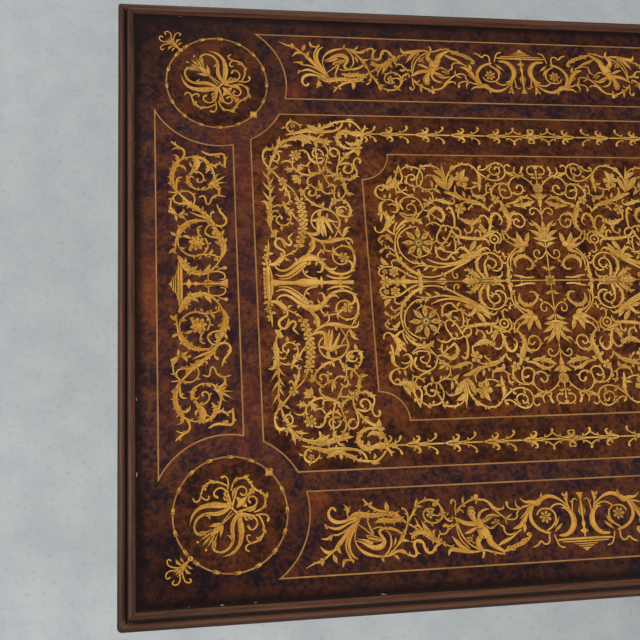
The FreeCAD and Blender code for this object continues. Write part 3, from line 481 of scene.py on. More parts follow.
# %% Carcase finishes
oak = walnut("oak_lining", Y, "987043", "BE9662", "6B4A28")[0]
pine = walnut("pine_core", X, "B98F55", "D2AE76", "9A7040")[0]
iron, shader = finish_of("blackened_iron")
place = add(iron, "ShaderNodeTexCoord", {})["Object"]
patch = {"Vector": place, "Scale": 1 / (3 * MM), "Detail": 4.0}
patch = add(iron, "ShaderNodeTexNoise", patch)["Fac"]
rubbed = add(iron, "ShaderNodeMapRange", {0: patch, 3: 0.35, 4: 0.65})[0]
tone = add(iron, "ShaderNodeMix", {0: patch, 6: "4A4643", 7: "77706A"}, **RGBA)[2]
feed(iron, tone, shader, "Base Color")
feed(iron, rubbed, shader, "Roughness")
shader.inputs["Metallic"].default_value = 1.0
print("oak, pine and iron ready")

# %% [markdown]
# ## Finishes on the solids
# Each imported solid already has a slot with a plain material. Replacing what is in the
# slot changes the look and leaves the mesh alone. Straight pieces get the walnut that
# runs along their own length.

# %% Dress the solids
finishes = {
    "moulding_front": edge_x, "moulding_back": edge_back,
    "moulding_left": edge_y, "moulding_right": edge_y,
    "top_core": pine, "glue_blocks": pine, "top_screws": iron,
    **burr,
}
for name in ("back_rail", "front_top_rail", "front_bottom_rail", "cross_stretcher", "drawer_front"):
    finishes[name] = walnut_x
for name in ("left_rail", "right_rail", "left_stretcher", "right_stretcher"):
    finishes[name] = walnut_y
for name in nodes:
    if name.startswith(("string", "roundel_rings")):
        finishes[name] = boxwood_line
    elif name.startswith(("leg_", "foot_")):
        finishes[name] = walnut_z
    elif name.startswith("knob_"):
        finishes[name] = walnut_y
    elif name not in finishes:
        finishes[name] = oak
for name, material in finishes.items():
    slots = nodes[name].data.materials
    slots.clear()
    slots.append(material)
print("dressed:", len(finishes), "of", len(nodes))

# %% [markdown]
# ## Cutting the marquetry
# A marquetry cutter saws each scroll from boxwood and lets it into the ground. Every
# piece is a ribbon that swells and tapers, so a Bezier curve with a width at each
# point draws it: with no bevel, the curve's extrude becomes a flat ribbon, and the
# points' radius its width. The helpers below collect such strokes for one quarter of
# the top, in millimetres from its middle, because the design is the same in all four.

# %% Strokes: swell and ribbon
STEM_WIDTHS = (0.9, 4)  # mm
strokes = []


def reach(x, y, angle, distance):
    angle = math.radians(angle)
    return x + distance * math.cos(angle), y + distance * math.sin(angle)


def heading(start, stop):
    return math.degrees(math.atan2(stop[1] - start[1], stop[0] - start[0]))


def swell(*points, vein=PLAIN, steps=4, closed=False):
    # A ribbon through points of x, y and width, with a round end where it is a stem.
    points = list(points)
    for _ in range(0 if closed else 2):
        x, y, width = points[-1]
        if STEM_WIDTHS[0] < width < STEM_WIDTHS[1]:
            tip = reach(x, y, heading(points[-2], points[-1]), 0.5 * width)
            points.append((*tip, 0.2 * width))
        points.reverse()
    strokes.append((points, vein, steps, closed))


def ribbon(points, start, middle, end, vein=PLAIN, steps=4):
    # A swell that is given only its widths at the start, in the middle and at the end.
    if len(points) == 2:
        (x0, y0), (x1, y1) = points
        points = (points[0], ((x0 + x1) / 2, (y0 + y1) / 2), points[1])
    last = len(points) - 1
    sized = []
    for i, (x, y) in enumerate(points):
        t = 2 * i / last
        width = start + (middle - start) * t if t < 1 else middle + (end - middle) * (t - 1)
        sized.append((x, y, width))
    swell(*sized, vein=vein, steps=steps)


print("ribbons ready")


# %% Strokes: leaf, horn, vine and stem
def leaf(width, *points):
    # Thin at its root, widest in the middle and pointed.
    ribbon(points, 0.15 * width, width, 0.05 * width, vein=VEINED, steps=3)


def horn(width, *points):
    # Widest at its root.
    ribbon(points, width, 0.7 * width, 0.1 * width, vein=VEINED)


def thorns(points):
    # A leaflet at every second point of a thin stem, left and right in turn, and lobes
    # on both edges of a broad one.
    for i in range(1, len(points) - 1):
        x, y, width = points[i]
        broad = width > 3.2
        along = heading(points[i - 1], points[i + 1])
        for side in (-1, 1) if broad else ((-1) ** (i // 2),) * (i % 2):
            size = 1.8 + 0.42 * width if broad else 3 + 0.3 * width
            root = reach(x, y, along + 90 * side, 0.25 * width)
            bend = reach(*root, along + 34 * side, 0.6 * size)
            tip = reach(*bend, along + 70 * side, 0.55 * size)
            ribbon((root, bend, tip), 0.4 * size, 0.5 * size, 0.05, steps=2)


def stem(*points, vein=PLAIN):
    # A swell with thorns, and veins where it is broad.
    thorns(points)
    broad = max(width for _, _, width in points) > 4
    swell(*points, vein=VEINED if broad else vein)


def vine(width, *points):
    # A stem of about one width, a little thicker in the middle.
    last = len(points) - 1
    widths = [0.7 + 0.6 * i / last if 2 * i < last else 1.5 - i / last for i in range(last + 1)]
    stem(*((x, y, width * w) for (x, y), w in zip(points, widths)))


def engrave(width, *points):
    # A graver's line: a thin dark cut over the pale wood.
    ribbon(points, 0.7 * width, width, 0.4 * width, vein=GRAVED, steps=3)


print("leaves and stems ready")


# %% Strokes: dot, ring and flower
def dot(x, y, radius, vein=PLAIN):
    across = (-1, -0.8, 0, 0.8, 1)
    sized = [(x + radius * s, y, 2 * radius * math.sqrt(1.01 - s * s)) for s in across]
    strokes.append((sized, vein, 3, False))


def ring(x, y, radius, width):
    swell(*((*reach(x, y, 45 * i, radius), width) for i in range(8)), steps=3, closed=True)


def flower(x, y, radius, petals, start=0):
    width = 3.7 * radius / petals
    for k in range(petals):
        a = start + 360 * k / petals
        root, belly = reach(x, y, a, 0.2 * radius), reach(x, y, a, 0.66 * radius)
        leaf(width, root, belly, reach(x, y, a, radius))
    dot(x, y, 0.3 * radius)
    dot(x, y, 0.13 * radius, vein=GRAVED)


print("motifs ready")

# %% [markdown]
# The next function lays a bay: it turns the strokes to one mesh of ribbons, gives each
# ribbon its attributes, extrudes it to a thin closed strip, and mirrors the
# quarter to the other three. Real marquetry is flush, and flush faces would flicker,
# so each stroke lies a hair above the one before, far less than the eye can see. Where
# a bay was sawn finer than it is drawn, all its widths are taken in by one share.

# %% Ribbons from strokes
PROUD = 0.01 * MM
LEVEL = 0.0004 * MM
STRIP = 0.6 * MM
SAW_LINE = 0.32  # mm


def ribbons(name, fine):
    curve = bpy.data.curves.new(name, "CURVE")
    curve.dimensions = "3D"
    curve.twist_mode = "Z_UP"
    # Half a millimetre to each side, so a point's radius is the ribbon's width in mm.
    curve.extrude = 0.5 * MM
    for level, (points, _, steps, closed) in enumerate(strokes):
        spline = curve.splines.new("BEZIER")
        spline.resolution_u = steps
        spline.use_cyclic_u = closed
        spline.use_smooth = False
        spline.radius_interpolation = "CARDINAL"
        spline.bezier_points.add(len(points) - 1)
        for knot, (x, y, width) in zip(spline.bezier_points, points):
            knot.co = (x * MM, y * MM, VENEER_TOP + PROUD + level * LEVEL)
            knot.radius = fine * width + SAW_LINE
            knot.tilt = math.pi / 2
            knot.handle_left_type = knot.handle_right_type = "AUTO"
    holder = bpy.data.objects.new(name, curve)
    bpy.context.scene.collection.objects.link(holder)
    depsgraph = bpy.context.evaluated_depsgraph_get()
    mesh = bpy.data.meshes.new_from_object(holder.evaluated_get(depsgraph))
    bpy.data.objects.remove(holder)
    bpy.data.curves.remove(curve)
    return mesh


print("strokes lie", round(LEVEL / MM, 5), "mm above each other")


# %% Lay a bay
def measure(mesh):
    # Two points of the mesh at a time lie across the ribbon from each other.
    side, inner, along, vein = (
        mesh.attributes.new(trait, "FLOAT", "POINT") for trait in TRAITS
    )
    first = 0
    for points, veined, steps, closed in strokes:
        stop = first + 2 * (steps * len(points) if closed else steps * (len(points) - 1) + 1)
        run, before = 0, None
        for i in range(first, stop, 2):
            left, right = mesh.vertices[i].co, mesh.vertices[i + 1].co
            middle, half = (left + right) / 2, (left - right).length / 2 / MM
            run += (middle - before).length / MM if i > first else 0
            before = middle
            for j, edge in ((i, -half), (i + 1, half)):
                side.data[j].value = edge
                inner.data[j].value = max(0.2 * half, half - SAW_LINE) if veined != GRAVED else half
                along.data[j].value = run
                vein.data[j].value = veined
        first = stop


def lay(name, wood, fine=1):
    mesh = ribbons(name, fine)
    measure(mesh)
    shape = bmesh.new()
    shape.from_mesh(mesh)
    under = bmesh.ops.extrude_face_region(shape, geom=shape.faces[:])["geom"]
    under = [v for v in under if isinstance(v, bmesh.types.BMVert)]
    bmesh.ops.translate(shape, verts=under, vec=(0, 0, -STRIP))
    quarter = shape.verts[:] + shape.edges[:] + shape.faces[:]
    # The quarters meet on the middle lines, so each has its own share of a level.
    for k, mirror in enumerate(((-1, 1, 1), (1, -1, 1), (-1, -1, 1)), 1):
        copy = bmesh.ops.duplicate(shape, geom=quarter)["geom"]
        copy = [v for v in copy if isinstance(v, bmesh.types.BMVert)]
        bmesh.ops.scale(shape, verts=copy, vec=mirror)
        bmesh.ops.translate(shape, verts=copy, vec=(0, 0, k * LEVEL / 4))
    bmesh.ops.recalc_face_normals(shape, faces=shape.faces)
    shape.to_mesh(mesh)
    shape.free()
    mesh.materials.clear()
    mesh.materials.append(wood)
    piece = bpy.data.objects.new(name, mesh)
    bpy.context.scene.collection.objects.link(piece)
    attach(piece, "frame")
    print(name, "from", len(strokes), "strokes:", len(mesh.polygons), "faces")
    strokes.clear()


print("ready to lay the bays")


# %% [markdown]
# ## End borders
# Between the roundels at each end runs a narrow panel: an urn on the middle line, and
# from its lid a leaf that turns into a spiral round a flower, then a stem, a lily and a
# second spiral. Half of it is drawn here from the urn outwards.

# %% End border: urn on the middle line, with lid, bowl and stem
swell((391, 0, 38), (392.6, 0, 23), (394.6, 0, 17), (396.8, 0, 11), (398.6, 0, 3.4))
swell((390.2, -2, 1.8), (390.2, 12, 1.8), (390, 23, 1.2))
swell((387.6, -2, 2.6), (387.6, 14, 2.6), (388, 26, 2.2))
for k in range(3):
    engrave(0.7, (392.4 + 2 * k, -10 + 2.5 * k), (392.4 + 2 * k, 10 - 2.5 * k))
swell(
    (385.5, 0, 2), (382.5, 0, 2.6), (380.2, 0, 10.5), (378, 0, 3), (375.5, 0, 2.4), (373.3, 0, 5),
    (371, 0, 2.6), (366, 0, 4.4), (362.3, 0, 9), (359.5, 0, 7.4), (355, 0, 5), (350, 0, 4.4),
    (346, 0, 6), (343.5, 0, 9), (341.5, 0, 9.6),
)
swell((361, -1, 1.6), (361, 5, 1.4), (361, 10, 1.4))
engrave(0.6, (369, 0.9), (360, 1.8), (348, 1))
swell(
    (363, 10, 1.6), (356, 12.5, 1.8), (348, 12, 1.8), (344.5, 9, 1.8), (344.5, 5.5, 1.6),
    (349, 4.2, 1.2),
)
swell((352, 14, 1), (348, 15.8, 1.8), (345, 16.3, 2))
dot(344, 16.6, 2.2)
print(len(strokes), "strokes")

# %% End border: scroll leaf from the lid's end, over and down into the long leaf
stem(
    (390, 29, 3), (385, 21, 7), (379, 14.5, 7), (371, 11.5, 5.5), (363, 11.5, 4), (354, 17.5, 2.2),
    (348, 27, 2.4), (345, 34, 5.5), (345.5, 42, 7), (349, 51, 7), (353, 59, 4), (354, 65, 3),
)
leaf(2.8, (380, 17), (374, 16.5), (370.5, 20.5))
leaf(3.8, (367, 12), (361, 16), (358, 22))
leaf(2.2, (377, 13), (381, 11.5), (382, 9.2))
leaf(3.2, (386, 22), (383, 24), (384, 28))
leaf(3, (345, 41), (342.5, 46), (341, 49.5))
leaf(3, (347, 49), (345, 55), (343.3, 58.5))
leaf(3, (349, 40), (352, 44), (353, 43))
print(len(strokes), "strokes")

# %% End border: flower in its spiral
stem(
    (354, 64.5, 1.6), (362, 67, 1.8), (370, 67.5, 3.5), (378, 65.5, 5.5), (385, 60, 6.5),
    (389.5, 53, 5), (390.5, 46, 2.2), (389, 39, 2), (384, 33, 2), (376, 29.5, 2), (368, 30.5, 2),
    (362.5, 35, 2), (360.5, 41, 2), (363, 48, 2),
)
bloom = (371.5, 43.5)
flower(*bloom, 9, 8, 10)
dot(*bloom, 5.4)
for angle in range(20, 380, 60):
    dot(*reach(*bloom, angle, 3.6), 0.65, vein=GRAVED)
leaf(3.5, (376, 47), (381, 50), (387, 51))
leaf(4.5, (374, 39), (378, 36.5), (376, 35))
stem((367, 50, 1.6), (370, 55, 1.8), (369.5, 60, 1.8), (366, 61.5, 1.4))
stem((371, 30.5, 1.8), (364, 31, 1.8), (357, 30.5, 1.8), (352, 28.5, 1.8), (351.5, 24, 1.4))
leaf(3, (361, 31), (357, 33.5), (356, 37.5))
leaf(2.4, (359, 30), (359.5, 27))
leaf(2.2, (353, 28), (354, 25.5), (353, 23.5))
leaf(2.4, (367, 30), (368.5, 27), (370.5, 25.5))
leaf(2.4, (389.5, 40), (386, 37.5), (382, 38.5))
leaf(2.4, (385, 60), (389, 61), (390.3, 63.5))
leaf(2.4, (376, 66), (379, 62), (377.5, 58.5))
leaf(2, (361, 40), (358.5, 43), (356, 43))
print(len(strokes), "strokes")

# %% End border: small spiral, sprig and ribbon
stem(
    (352, 61, 1.5), (357, 62.8, 1.7), (362, 58.5, 1.8), (362.5, 53.5, 1.8), (358, 50.3, 1.8),
    (350, 49, 2.4),
)
leaf(4, (350, 57), (354, 55), (356, 51.5))
stem((391, 51, 2.4), (392.5, 43, 1.8), (393, 37, 2))
leaf(3.4, (393, 39), (396.5, 35), (400, 31.5))
leaf(3, (393, 39), (394, 34), (391.5, 31.5))
leaf(3.4, (390, 51), (395, 53), (398, 56))
stem(
    (353, 63, 2.4), (348, 61.5, 2.4), (343, 63, 2.4), (341, 68, 2.6), (343.5, 73, 2.6),
    (347.5, 78, 2.4), (350, 85, 1.6),
)
print(len(strokes), "strokes")

# %% End border: long stem to the crossing loops
stem(
    (353, 63, 2.5), (357, 68, 4), (362, 74, 4), (369, 79.5, 4.4), (376, 84, 6), (382, 86.5, 4),
    (389.5, 84.5, 1),
)
stem((354, 66, 1.4), (362, 70.5, 2.2), (370, 73.5, 2.6), (378, 77, 0.8))
stem((357, 70, 1.6), (356.5, 75, 1.8), (354, 77.5, 2.6))
leaf(2.2, (367, 78), (364.5, 81), (365.5, 84))
leaf(2.2, (374, 82), (374.8, 77))
stem((390, 98, 1.8), (395.5, 92, 1.7), (397, 85, 1.7), (396.5, 79, 2.4))
leaf(5.5, (398.5, 84), (395, 77.5), (390, 73.5))
leaf(3.4, (393, 75), (391.5, 70.5), (391.5, 66))
leaf(3.4, (391, 74.5), (386, 72), (381, 68.5))
leaf(3.4, (390, 74.5), (385, 76), (383.5, 81))
leaf(2.4, (396.5, 80), (398.5, 78), (398, 75))
leaf(2.4, (388, 74), (387.5, 69.5))
leaf(2.4, (385, 73.5), (381, 74.5), (379.5, 72))
stem(
    (399, 99, 1), (390, 98.5, 2), (381, 100, 1.8), (375, 97, 1.8), (372.5, 91, 1.8), (374, 85, 1.6),
)
stem((390, 98, 1.8), (394, 92.5, 1.8), (392.5, 88, 1.8), (386, 86.5, 1.8), (380, 86.5, 2.4))
stem((390, 99, 2), (384, 93, 2.4), (378, 86, 4))
leaf(2.2, (388, 99.3), (384, 102))
print(len(strokes), "strokes")

# %% End border: leaf, tails and lower spiral
stem(
    (389.5, 98.5, 2), (393.5, 106, 4.4), (395.5, 114, 5), (394.5, 122, 5.4), (391.5, 129, 6),
    (388.5, 134, 4), (390, 139, 2.2), (395, 141, 0.6),
)
leaf(2.8, (394, 106), (397.5, 109), (400, 108.2))
stem((391, 102, 1.5), (390.5, 110, 2.6), (389, 114.5, 2.4), (384.5, 115.5, 1))
stem((391, 128, 2), (385.5, 128.5, 2.4), (382, 126, 2), (381.3, 123, 1))
stem(
    (388, 133, 2.2), (384, 137.5, 2.4), (382, 143, 2.4), (384.5, 148, 2.4), (389, 149, 2.2),
    (395, 146.5, 0.8),
)
stem((386, 149, 1.5), (391, 152, 2.2), (395.5, 156, 1.4))
stem(
    (389, 133, 2.5), (382, 137, 1.7), (374, 138.5, 1.7), (364, 137, 3.4), (357, 131, 3.4),
    (353, 123, 2), (352, 115, 2.6), (355, 108, 4), (360, 102.5, 1.8), (367, 101.5, 1.9),
    (374, 104, 2.2), (378.5, 109, 4), (379.5, 117, 2.4),
)
leaf(3.4, (367.5, 101), (363.5, 103), (360.5, 106))
leaf(4, (379, 108), (376.5, 107.5), (374.5, 105))
stem((379, 113, 2), (375.5, 116.5, 2), (372.5, 114.5, 1))
stem((377, 118, 2), (373, 124, 5), (369.5, 131, 7.5), (371, 137, 5), (373.5, 141, 0.8))
leaf(3, (372, 126), (376, 129.5), (376, 134))
stem(
    (378, 119, 1.6), (372, 122, 1.8), (365, 119.5, 1.8), (363, 114, 1.8), (366, 110, 1.8),
    (369.5, 111, 2), (369, 113.5, 2.4),
)
stem((363, 137, 3), (358, 131, 4.4), (357.5, 126, 3.6), (360.8, 120.5, 1.5))
print(len(strokes), "strokes")

# %% End border: horns and the tails beside them
horn(3.2, (355, 108), (348, 109.5), (338, 110))
horn(3.2, (353, 110), (346, 114), (339, 118.5))
horn(2.6, (352, 113), (349.5, 118), (345, 120.5))
leaf(2.8, (354, 108), (349, 107), (346, 104))
dot(354.5, 108.5, 2.6)
stem(
    (368, 93.5, 1.5), (363, 94.5, 2), (361.5, 90, 2), (359.5, 85.5, 2), (357, 87.5, 2),
    (354.5, 93, 2.2), (349, 95.5, 2.2), (341.5, 94, 1.2),
)
stem((348.5, 95, 2), (347.5, 101, 2.6), (353, 106, 2.6))
leaf(2.2, (354.5, 107), (355.5, 103.5), (354, 101.5))
stem((358, 131, 2), (352, 129, 2.4), (346, 131, 2.4), (340, 127, 1.6))
leaf(2.8, (347, 130), (346, 132.5), (344, 134.5))
stem(
    (341, 129, 2.6), (340.5, 136, 2.6), (342, 142, 2.6), (348, 142, 2.8), (357, 141.5, 2.8),
    (364, 145, 1.6),
)
leaf(3.4, (346, 142), (347, 139.5), (349.5, 138.5))

lay("marquetry_end_borders", boxwood)

# %% [markdown]
# ## Roundels
# Each corner holds a ring with a spray that is the same on both sides of the corner's
# diagonal. So half of it is drawn about the ring's own middle, and every point is taken
# a second time with x and y changed over. The ring itself is a solid; only the knots
# along it are cut here.

# %% Roundel: half of the spray
swell((-3.4, -3.4, 2), (1, -8.5, 3))
swell(
    (0, -9, 3.4), (6, -8.4, 5), (13, -9.2, 6.6), (21, -9, 5.2), (29, -6.6, 3.6), (35, -0.6, 2.6),
    (38, 8, 0.8), vein=VEINED,
)
swell(
    (0, -7, 3), (7, -2.5, 4.4), (14, -1, 4.4), (21, -1.5, 3.4), (28, 0.5, 2.8), (33, 6.5, 2.4),
    (33.5, 12.5, 2.2), (30, 17, 2.8), (25, 17, 2), (20, 19, 0.8), vein=VEINED,
)
leaf(2.6, (25, -1), (20.5, 1), (18.5, 4.5))
leaf(2.6, (31, 15), (26, 15), (23, 14))
swell((-3, -0.8, 1.2), (2, 3.4, 1.4), (8, 8.6, 1.6))
leaf(2, (15, 15), (23, 22.4), (27.6, 27))
leaf(2.2, (14, 12.5), (23, 18.6), (30, 23.2))
leaf(2, (14, 11.6), (24, 15.4), (32, 18.4))
dot(31, 23.6, 1.2)
swell((7, 7, 2.4), (11.5, 11.5, 5.6), (16, 16, 4.4), (20, 20, 0.8), vein=VEINED)
leaf(4, (8, 7.4), (14, 9), (21.6, 10.2))
print(len(strokes), "strokes")

# %% Roundel: horn and tendrils in half of the spray
horn(5.4, (0.5, -8), (1.8, -16), (2, -25))
leaf(2.6, (2, -14), (5, -19), (4, -22))
leaf(2.4, (2, -11), (5.5, -14.5), (6.5, -17))
swell((2, -24, 2.2), (1.5, -30.5, 1.8), (4, -35, 1.8), (7.5, -34.5, 2.8))
swell((2, -20, 2.2), (8, -24.5, 1.9), (13.5, -22.5, 1.9), (15, -18.5, 1.9), (12, -16, 2.8))
swell(
    (2, -26, 1.8), (9, -29.5, 2), (17, -30.5, 2), (24, -26.5, 2.2), (27, -19.5, 1.8),
    (29, -14, 1.9), (32.5, -13, 1.9), (34.5, -16, 1.4),
)
leaf(3.6, (12, -29), (17, -31), (19.5, -33))
leaf(4, (20, -28), (24, -26.5), (26.5, -26.5))
leaf(3, (23, -27), (23, -24), (21.5, -23))
swell((27.5, -18, 1.6), (23.5, -14.5, 1.8), (20, -15, 1.8), (20, -17.5, 1.6))
swell(
    (-2, -8, 2.2), (-4.5, -16, 2), (-8, -24, 2.2), (-13, -24.5, 1.9), (-15.5, -20, 1.9),
    (-12.5, -16.8, 2), (-10, -18.5, 2.6),
)
leaf(3.4, (-2, -14), (-3.5, -21), (-6.5, -25))
swell(
    (-1, -22, 1.6), (-4, -29.5, 2.2), (-11, -33, 2.4), (-17.5, -31, 2.4), (-21, -25, 2.4),
    (-23, -22, 3.4),
)
leaf(3.4, (-2, -28), (-6, -32), (-7, -35))
leaf(3.6, (-11, -33.5), (-15.5, -34), (-19, -36))
leaf(3.4, (-16, -31), (-19.5, -28.5), (-22, -30))
leaf(3, (-20, -24), (-22, -19.5), (-19, -17.5))
swell((-22, -21, 1.8), (-17, -16, 1.6), (-13, -13, 1.6))
swell((-5.8, -15.6, 1), (-8.2, -13, 5), (-10.7, -10.7, 8), (-13, -8.2, 5), (-15.6, -5.8, 1))
swell((-5.8, -5.8, 1), (-8, -8, 4.4), (-10.7, -10.7, 7), (-13.2, -13.2, 4), (-15.8, -15.8, 1.4))
print(len(strokes), "strokes")

# %% Roundel: corner sprig
swell((39.5, 39.5, 1.6), (42.5, 42.5, 4), (46, 46, 6), (49, 49, 3), (51.5, 51.5, 0.8), vein=VEINED)
swell((48, 45.5, 1.4), (54.5, 44.4, 1.5), (58.6, 41.4, 1.5), (57.8, 37.6, 1.5), (55.8, 38.6, 1.7))
swell((50, 48, 1.4), (56, 47.6, 1.5), (60, 50.6, 1.5), (59, 54.4, 1.5), (56.8, 53.4, 1.7))
leaf(3, (45, 43), (49.5, 41), (51.4, 37))
leaf(2.4, (43, 41.5), (46, 38.5), (47, 35.5))
leaf(2.6, (47, 46), (51, 47.2), (53.5, 50.5))
print(len(strokes), "strokes")

# %% Roundel: both halves, knots on the ring, and its two ends on the diagonal
ROUNDEL = (346, 226.5)
RING_RADIUS = 53.3
KNOT_STEP = 21.5  # degrees
INNER, OUTER = 225, 45  # degrees, to the table's middle and to its corner
half = strokes[:]
strokes.clear()
for points, veined, steps, closed in half:
    placed = [(ROUNDEL[0] + x, ROUNDEL[1] + y, w) for x, y, w in points]
    turned = [(ROUNDEL[0] + y, ROUNDEL[1] + x, w) for x, y, w in points]
    strokes.extend(((placed, veined, steps, closed), (turned, veined, steps, closed)))
for k in range(1, 9):
    for side in (-1, 1):
        angle = INNER + KNOT_STEP * k * side
        knot = reach(*ROUNDEL, angle, RING_RADIUS)
        leaf(3.8, reach(*knot, angle + 90, 4.4), knot, reach(*knot, angle - 90, 4.4))
        for lift in (-1, 1):
            root = reach(*knot, angle + 90 * side, 1)
            leaf(1.6, root, reach(*root, angle + 90 * side * (1 - 0.4 * lift), 3.4))
inner_end = reach(*ROUNDEL, INNER, RING_RADIUS - 0.3)
flower(*inner_end, 4.8, 4, 45)
dot(*inner_end, 3.2)
outer_end = reach(*ROUNDEL, OUTER, RING_RADIUS + 0.3)
dot(*outer_end, 2.6)
dot(*outer_end, 0.7, vein=GRAVED)
lay("marquetry_roundels", boxwood, fine=0.93)

# %% [markdown]
# ## Long borders
# Along the front and back a longer panel runs from a fan of plumes past a bird in a ring,
# crossing stems, a flower and a winged child to an urn in the middle.

# %% Long border: fan of plumes at the outer end
swell(
    (222, 234, 4.5), (232, 236.5, 3), (242, 239, 3.6), (249, 238, 4.4), (253.5, 233, 3.6),
    (253, 228, 3), (249, 225.5, 2.6), (247.3, 227.8, 3),
)
swell((224, 236, 2), (236, 241, 2.4), (246, 245, 3.4), (252, 244, 2.2), (257, 241.5, 1.8))
leaf(3, (254, 243.5), (257, 242), (258, 239))
leaf(2.4, (254, 243), (258, 244.5))
swell(
    (225, 237, 2), (238, 247, 2.2), (246, 250.5, 2.2), (252, 251, 2.2), (256, 253.7, 3),
    (262.5, 253.5, 0.8),
)
leaf(3.2, (250, 250.5), (253.5, 254), (252, 256))
swell(
    (225, 238, 2), (234, 246, 3.2), (240, 253, 4.4), (246, 260, 5), (251, 265, 3.4),
    (257.5, 266, 4), (263.5, 260.5, 0.8),
)
leaf(3.6, (245, 260), (246, 265), (243, 268.5))
swell((249, 263, 2), (256, 269, 2.2), (263, 273.5, 3), (270, 275.5, 2.2), (278, 279.3, 0.8))
leaf(4.4, (259, 271), (262.5, 275), (262, 278.5))
leaf(3, (261, 272.5), (264.5, 271.5))
leaf(2.4, (268, 275.5), (271, 273.8))
leaf(5, (252, 267.5), (250, 272.5), (248, 277))
swell(
    (225, 239, 2), (231, 248, 3), (235.5, 257, 3.6), (235.5, 265, 3.2), (232.5, 271, 2.6),
    (228.5, 273.8, 1),
)
swell((226, 239, 1.6), (236, 252, 2.2), (239, 262, 2.2), (237, 269, 2.2), (233, 276, 2.6))
swell((233, 274.5, 2.2), (238, 274, 1.8), (241.5, 275, 3.4), (243, 280, 1.2))
leaf(2.6, (240, 275), (243, 273.5))
print(len(strokes), "strokes")

# %% Long border: trunk with leaves
stem(
    (233, 234, 2), (226, 232.5, 6), (218, 234, 6.6), (208, 234.5, 5), (198, 233.5, 5),
    (190, 235, 7), (185, 238.5, 4.5), (178, 243.5, 2),
)
leaf(5.6, (197, 234), (197, 227.5), (198, 221.5))
leaf(3, (191, 236), (192, 230.5))
stem((210, 241.5, 1), (203, 239.5, 5.5), (193, 240.5, 5.5), (184, 239.5, 3))
stem((198, 231.5, 2), (207, 229.5, 2.8), (213.5, 225.5, 3), (220, 218.5, 1.4))
leaf(3.2, (214, 225.5), (212.5, 223), (210.5, 222))
leaf(3.2, (214.5, 224.5), (217, 223.5), (219.5, 226))
stem((228, 233.5, 1.8), (234, 235, 1.8), (236, 232, 1.8), (235, 228.5, 4.4), (239, 222.5, 0.8))
print(len(strokes), "strokes")

# %% [markdown]
# Birds and figures are cut from several pieces, with a saw line between the limbs. So
# each limb is one swell whose widths follow its outline, and a graver's lines and dots
# for feathers and eyes go over it, because a later stroke lies on top.

# %% Long border: bird in its ring
swell(
    (226, 240, 1.4), (229, 249, 1.4), (229.8, 257, 1.6), (226.5, 264, 2.4), (220, 269, 4),
    (213, 271.4, 3), (206, 272.6, 2.2), (200, 272, 2.2), (195, 268.5, 2), (190, 263.5, 1.9),
    (186, 257.5, 1.8), (183, 251.5, 1.6),
)
swell((203, 272.5, 1.6), (197, 266, 2), (195, 258.5, 2.4), (197, 251, 1.6), (200, 249.5, 1))
swell((227, 255.4, 0.8), (220, 257.2, 3), (213, 260.4, 5))
swell(
    (230, 256.4, 0.8), (222, 259.4, 2.6), (216, 262.8, 4.4), (210, 264.4, 6), (204.4, 263, 6.4),
    (201.8, 258.8, 4.8), (204, 254, 3.6), (205.8, 250.2, 3.4), (203.6, 247.6, 3.4),
    (198.6, 247, 3.6), (192.6, 248.2, 4), (187, 251.2, 4), (182.6, 254, 1.4),
)
swell((219, 252.6, 1.4), (215, 254.8, 5.6), (210, 256.6, 7), (206, 257.6, 4.4), (204.4, 258.4, 1.2))
engrave(0.8, (217.4, 253.6), (211, 254.8), (205.6, 256.8))
engrave(0.8, (217, 256.4), (211, 258), (206, 258.6))
dot(207.6, 260, 1, vein=GRAVED)
dot(197.6, 246.6, 0.6, vein=GRAVED)
engrave(0.6, (195.6, 249), (189, 251.2), (184.6, 253.4))
swell((217, 239, 1.2), (214.5, 246, 2.4), (212, 251.5, 2.4))
swell((226, 242, 1), (220, 246.5, 1.6), (213, 253, 1.6))
swell((212, 247, 1.4), (206, 245.5, 1.8), (200, 247.5, 1.8))
leaf(3, (206, 272), (204.5, 275.5), (203.5, 279))
leaf(3, (195, 272), (190.5, 274), (188.5, 277.5))
swell((203, 272.8, 2), (196, 271.5, 2.6), (189, 268.5, 3), (184, 269.5, 4.6), (179, 274, 0.8))
swell((194, 268.5, 1.6), (188.5, 262.5, 2.2), (184, 259, 4), (177, 260.5, 0.8))
leaf(2.8, (194, 265), (191, 259), (190.5, 254.5))
print(len(strokes), "strokes")

# %% Long border: crossing stems, spiral flower, leaf cluster and S ribbon
stem((180, 242.5, 2.2), (172, 247, 2), (163, 254, 2.2), (155, 260, 2.6), (148, 263, 3.4))
stem((185, 260, 2), (181, 252, 2.2), (177, 242, 2.2), (173, 236, 2.6), (168.5, 229, 3.4))
leaf(5, (169.5, 231), (167.5, 226), (167, 220))
leaf(2.6, (169, 230), (165, 228), (161, 229.5))
stem((178, 243.5, 1.6), (177, 236, 1.8), (179, 231, 1.8), (182, 229, 2.2))
vine(1.4, (184, 253.5), (179, 253.5))
stem(
    (167, 226, 1.5), (160, 223, 2.4), (154, 222.5, 2.6), (148.5, 224.5, 3.2), (144, 229.5, 2.6),
    (142.5, 234, 4.4), (142.5, 238, 3), (146, 242.5, 2.2), (152, 244.5, 2.2), (158, 242.5, 2.2),
    (161.5, 237, 2), (160, 232.5, 2), (155, 230.8, 2), (150.5, 232, 1.8),
)
leaf(3, (149, 224.5), (146.5, 223.8), (143.5, 222))
leaf(2.8, (149.5, 224), (150.8, 227.5), (149.5, 229.5))
flower(154.5, 236, 4.6, 5, 18)
leaf(2.2, (154.5, 244), (153, 248.5))
vine(1.8, (151, 237), (147, 237.8), (142, 236.5))
stem((141.5, 237, 2), (139, 241.5, 2.2), (134.5, 243.5, 2), (132.5, 240.5, 1.8))
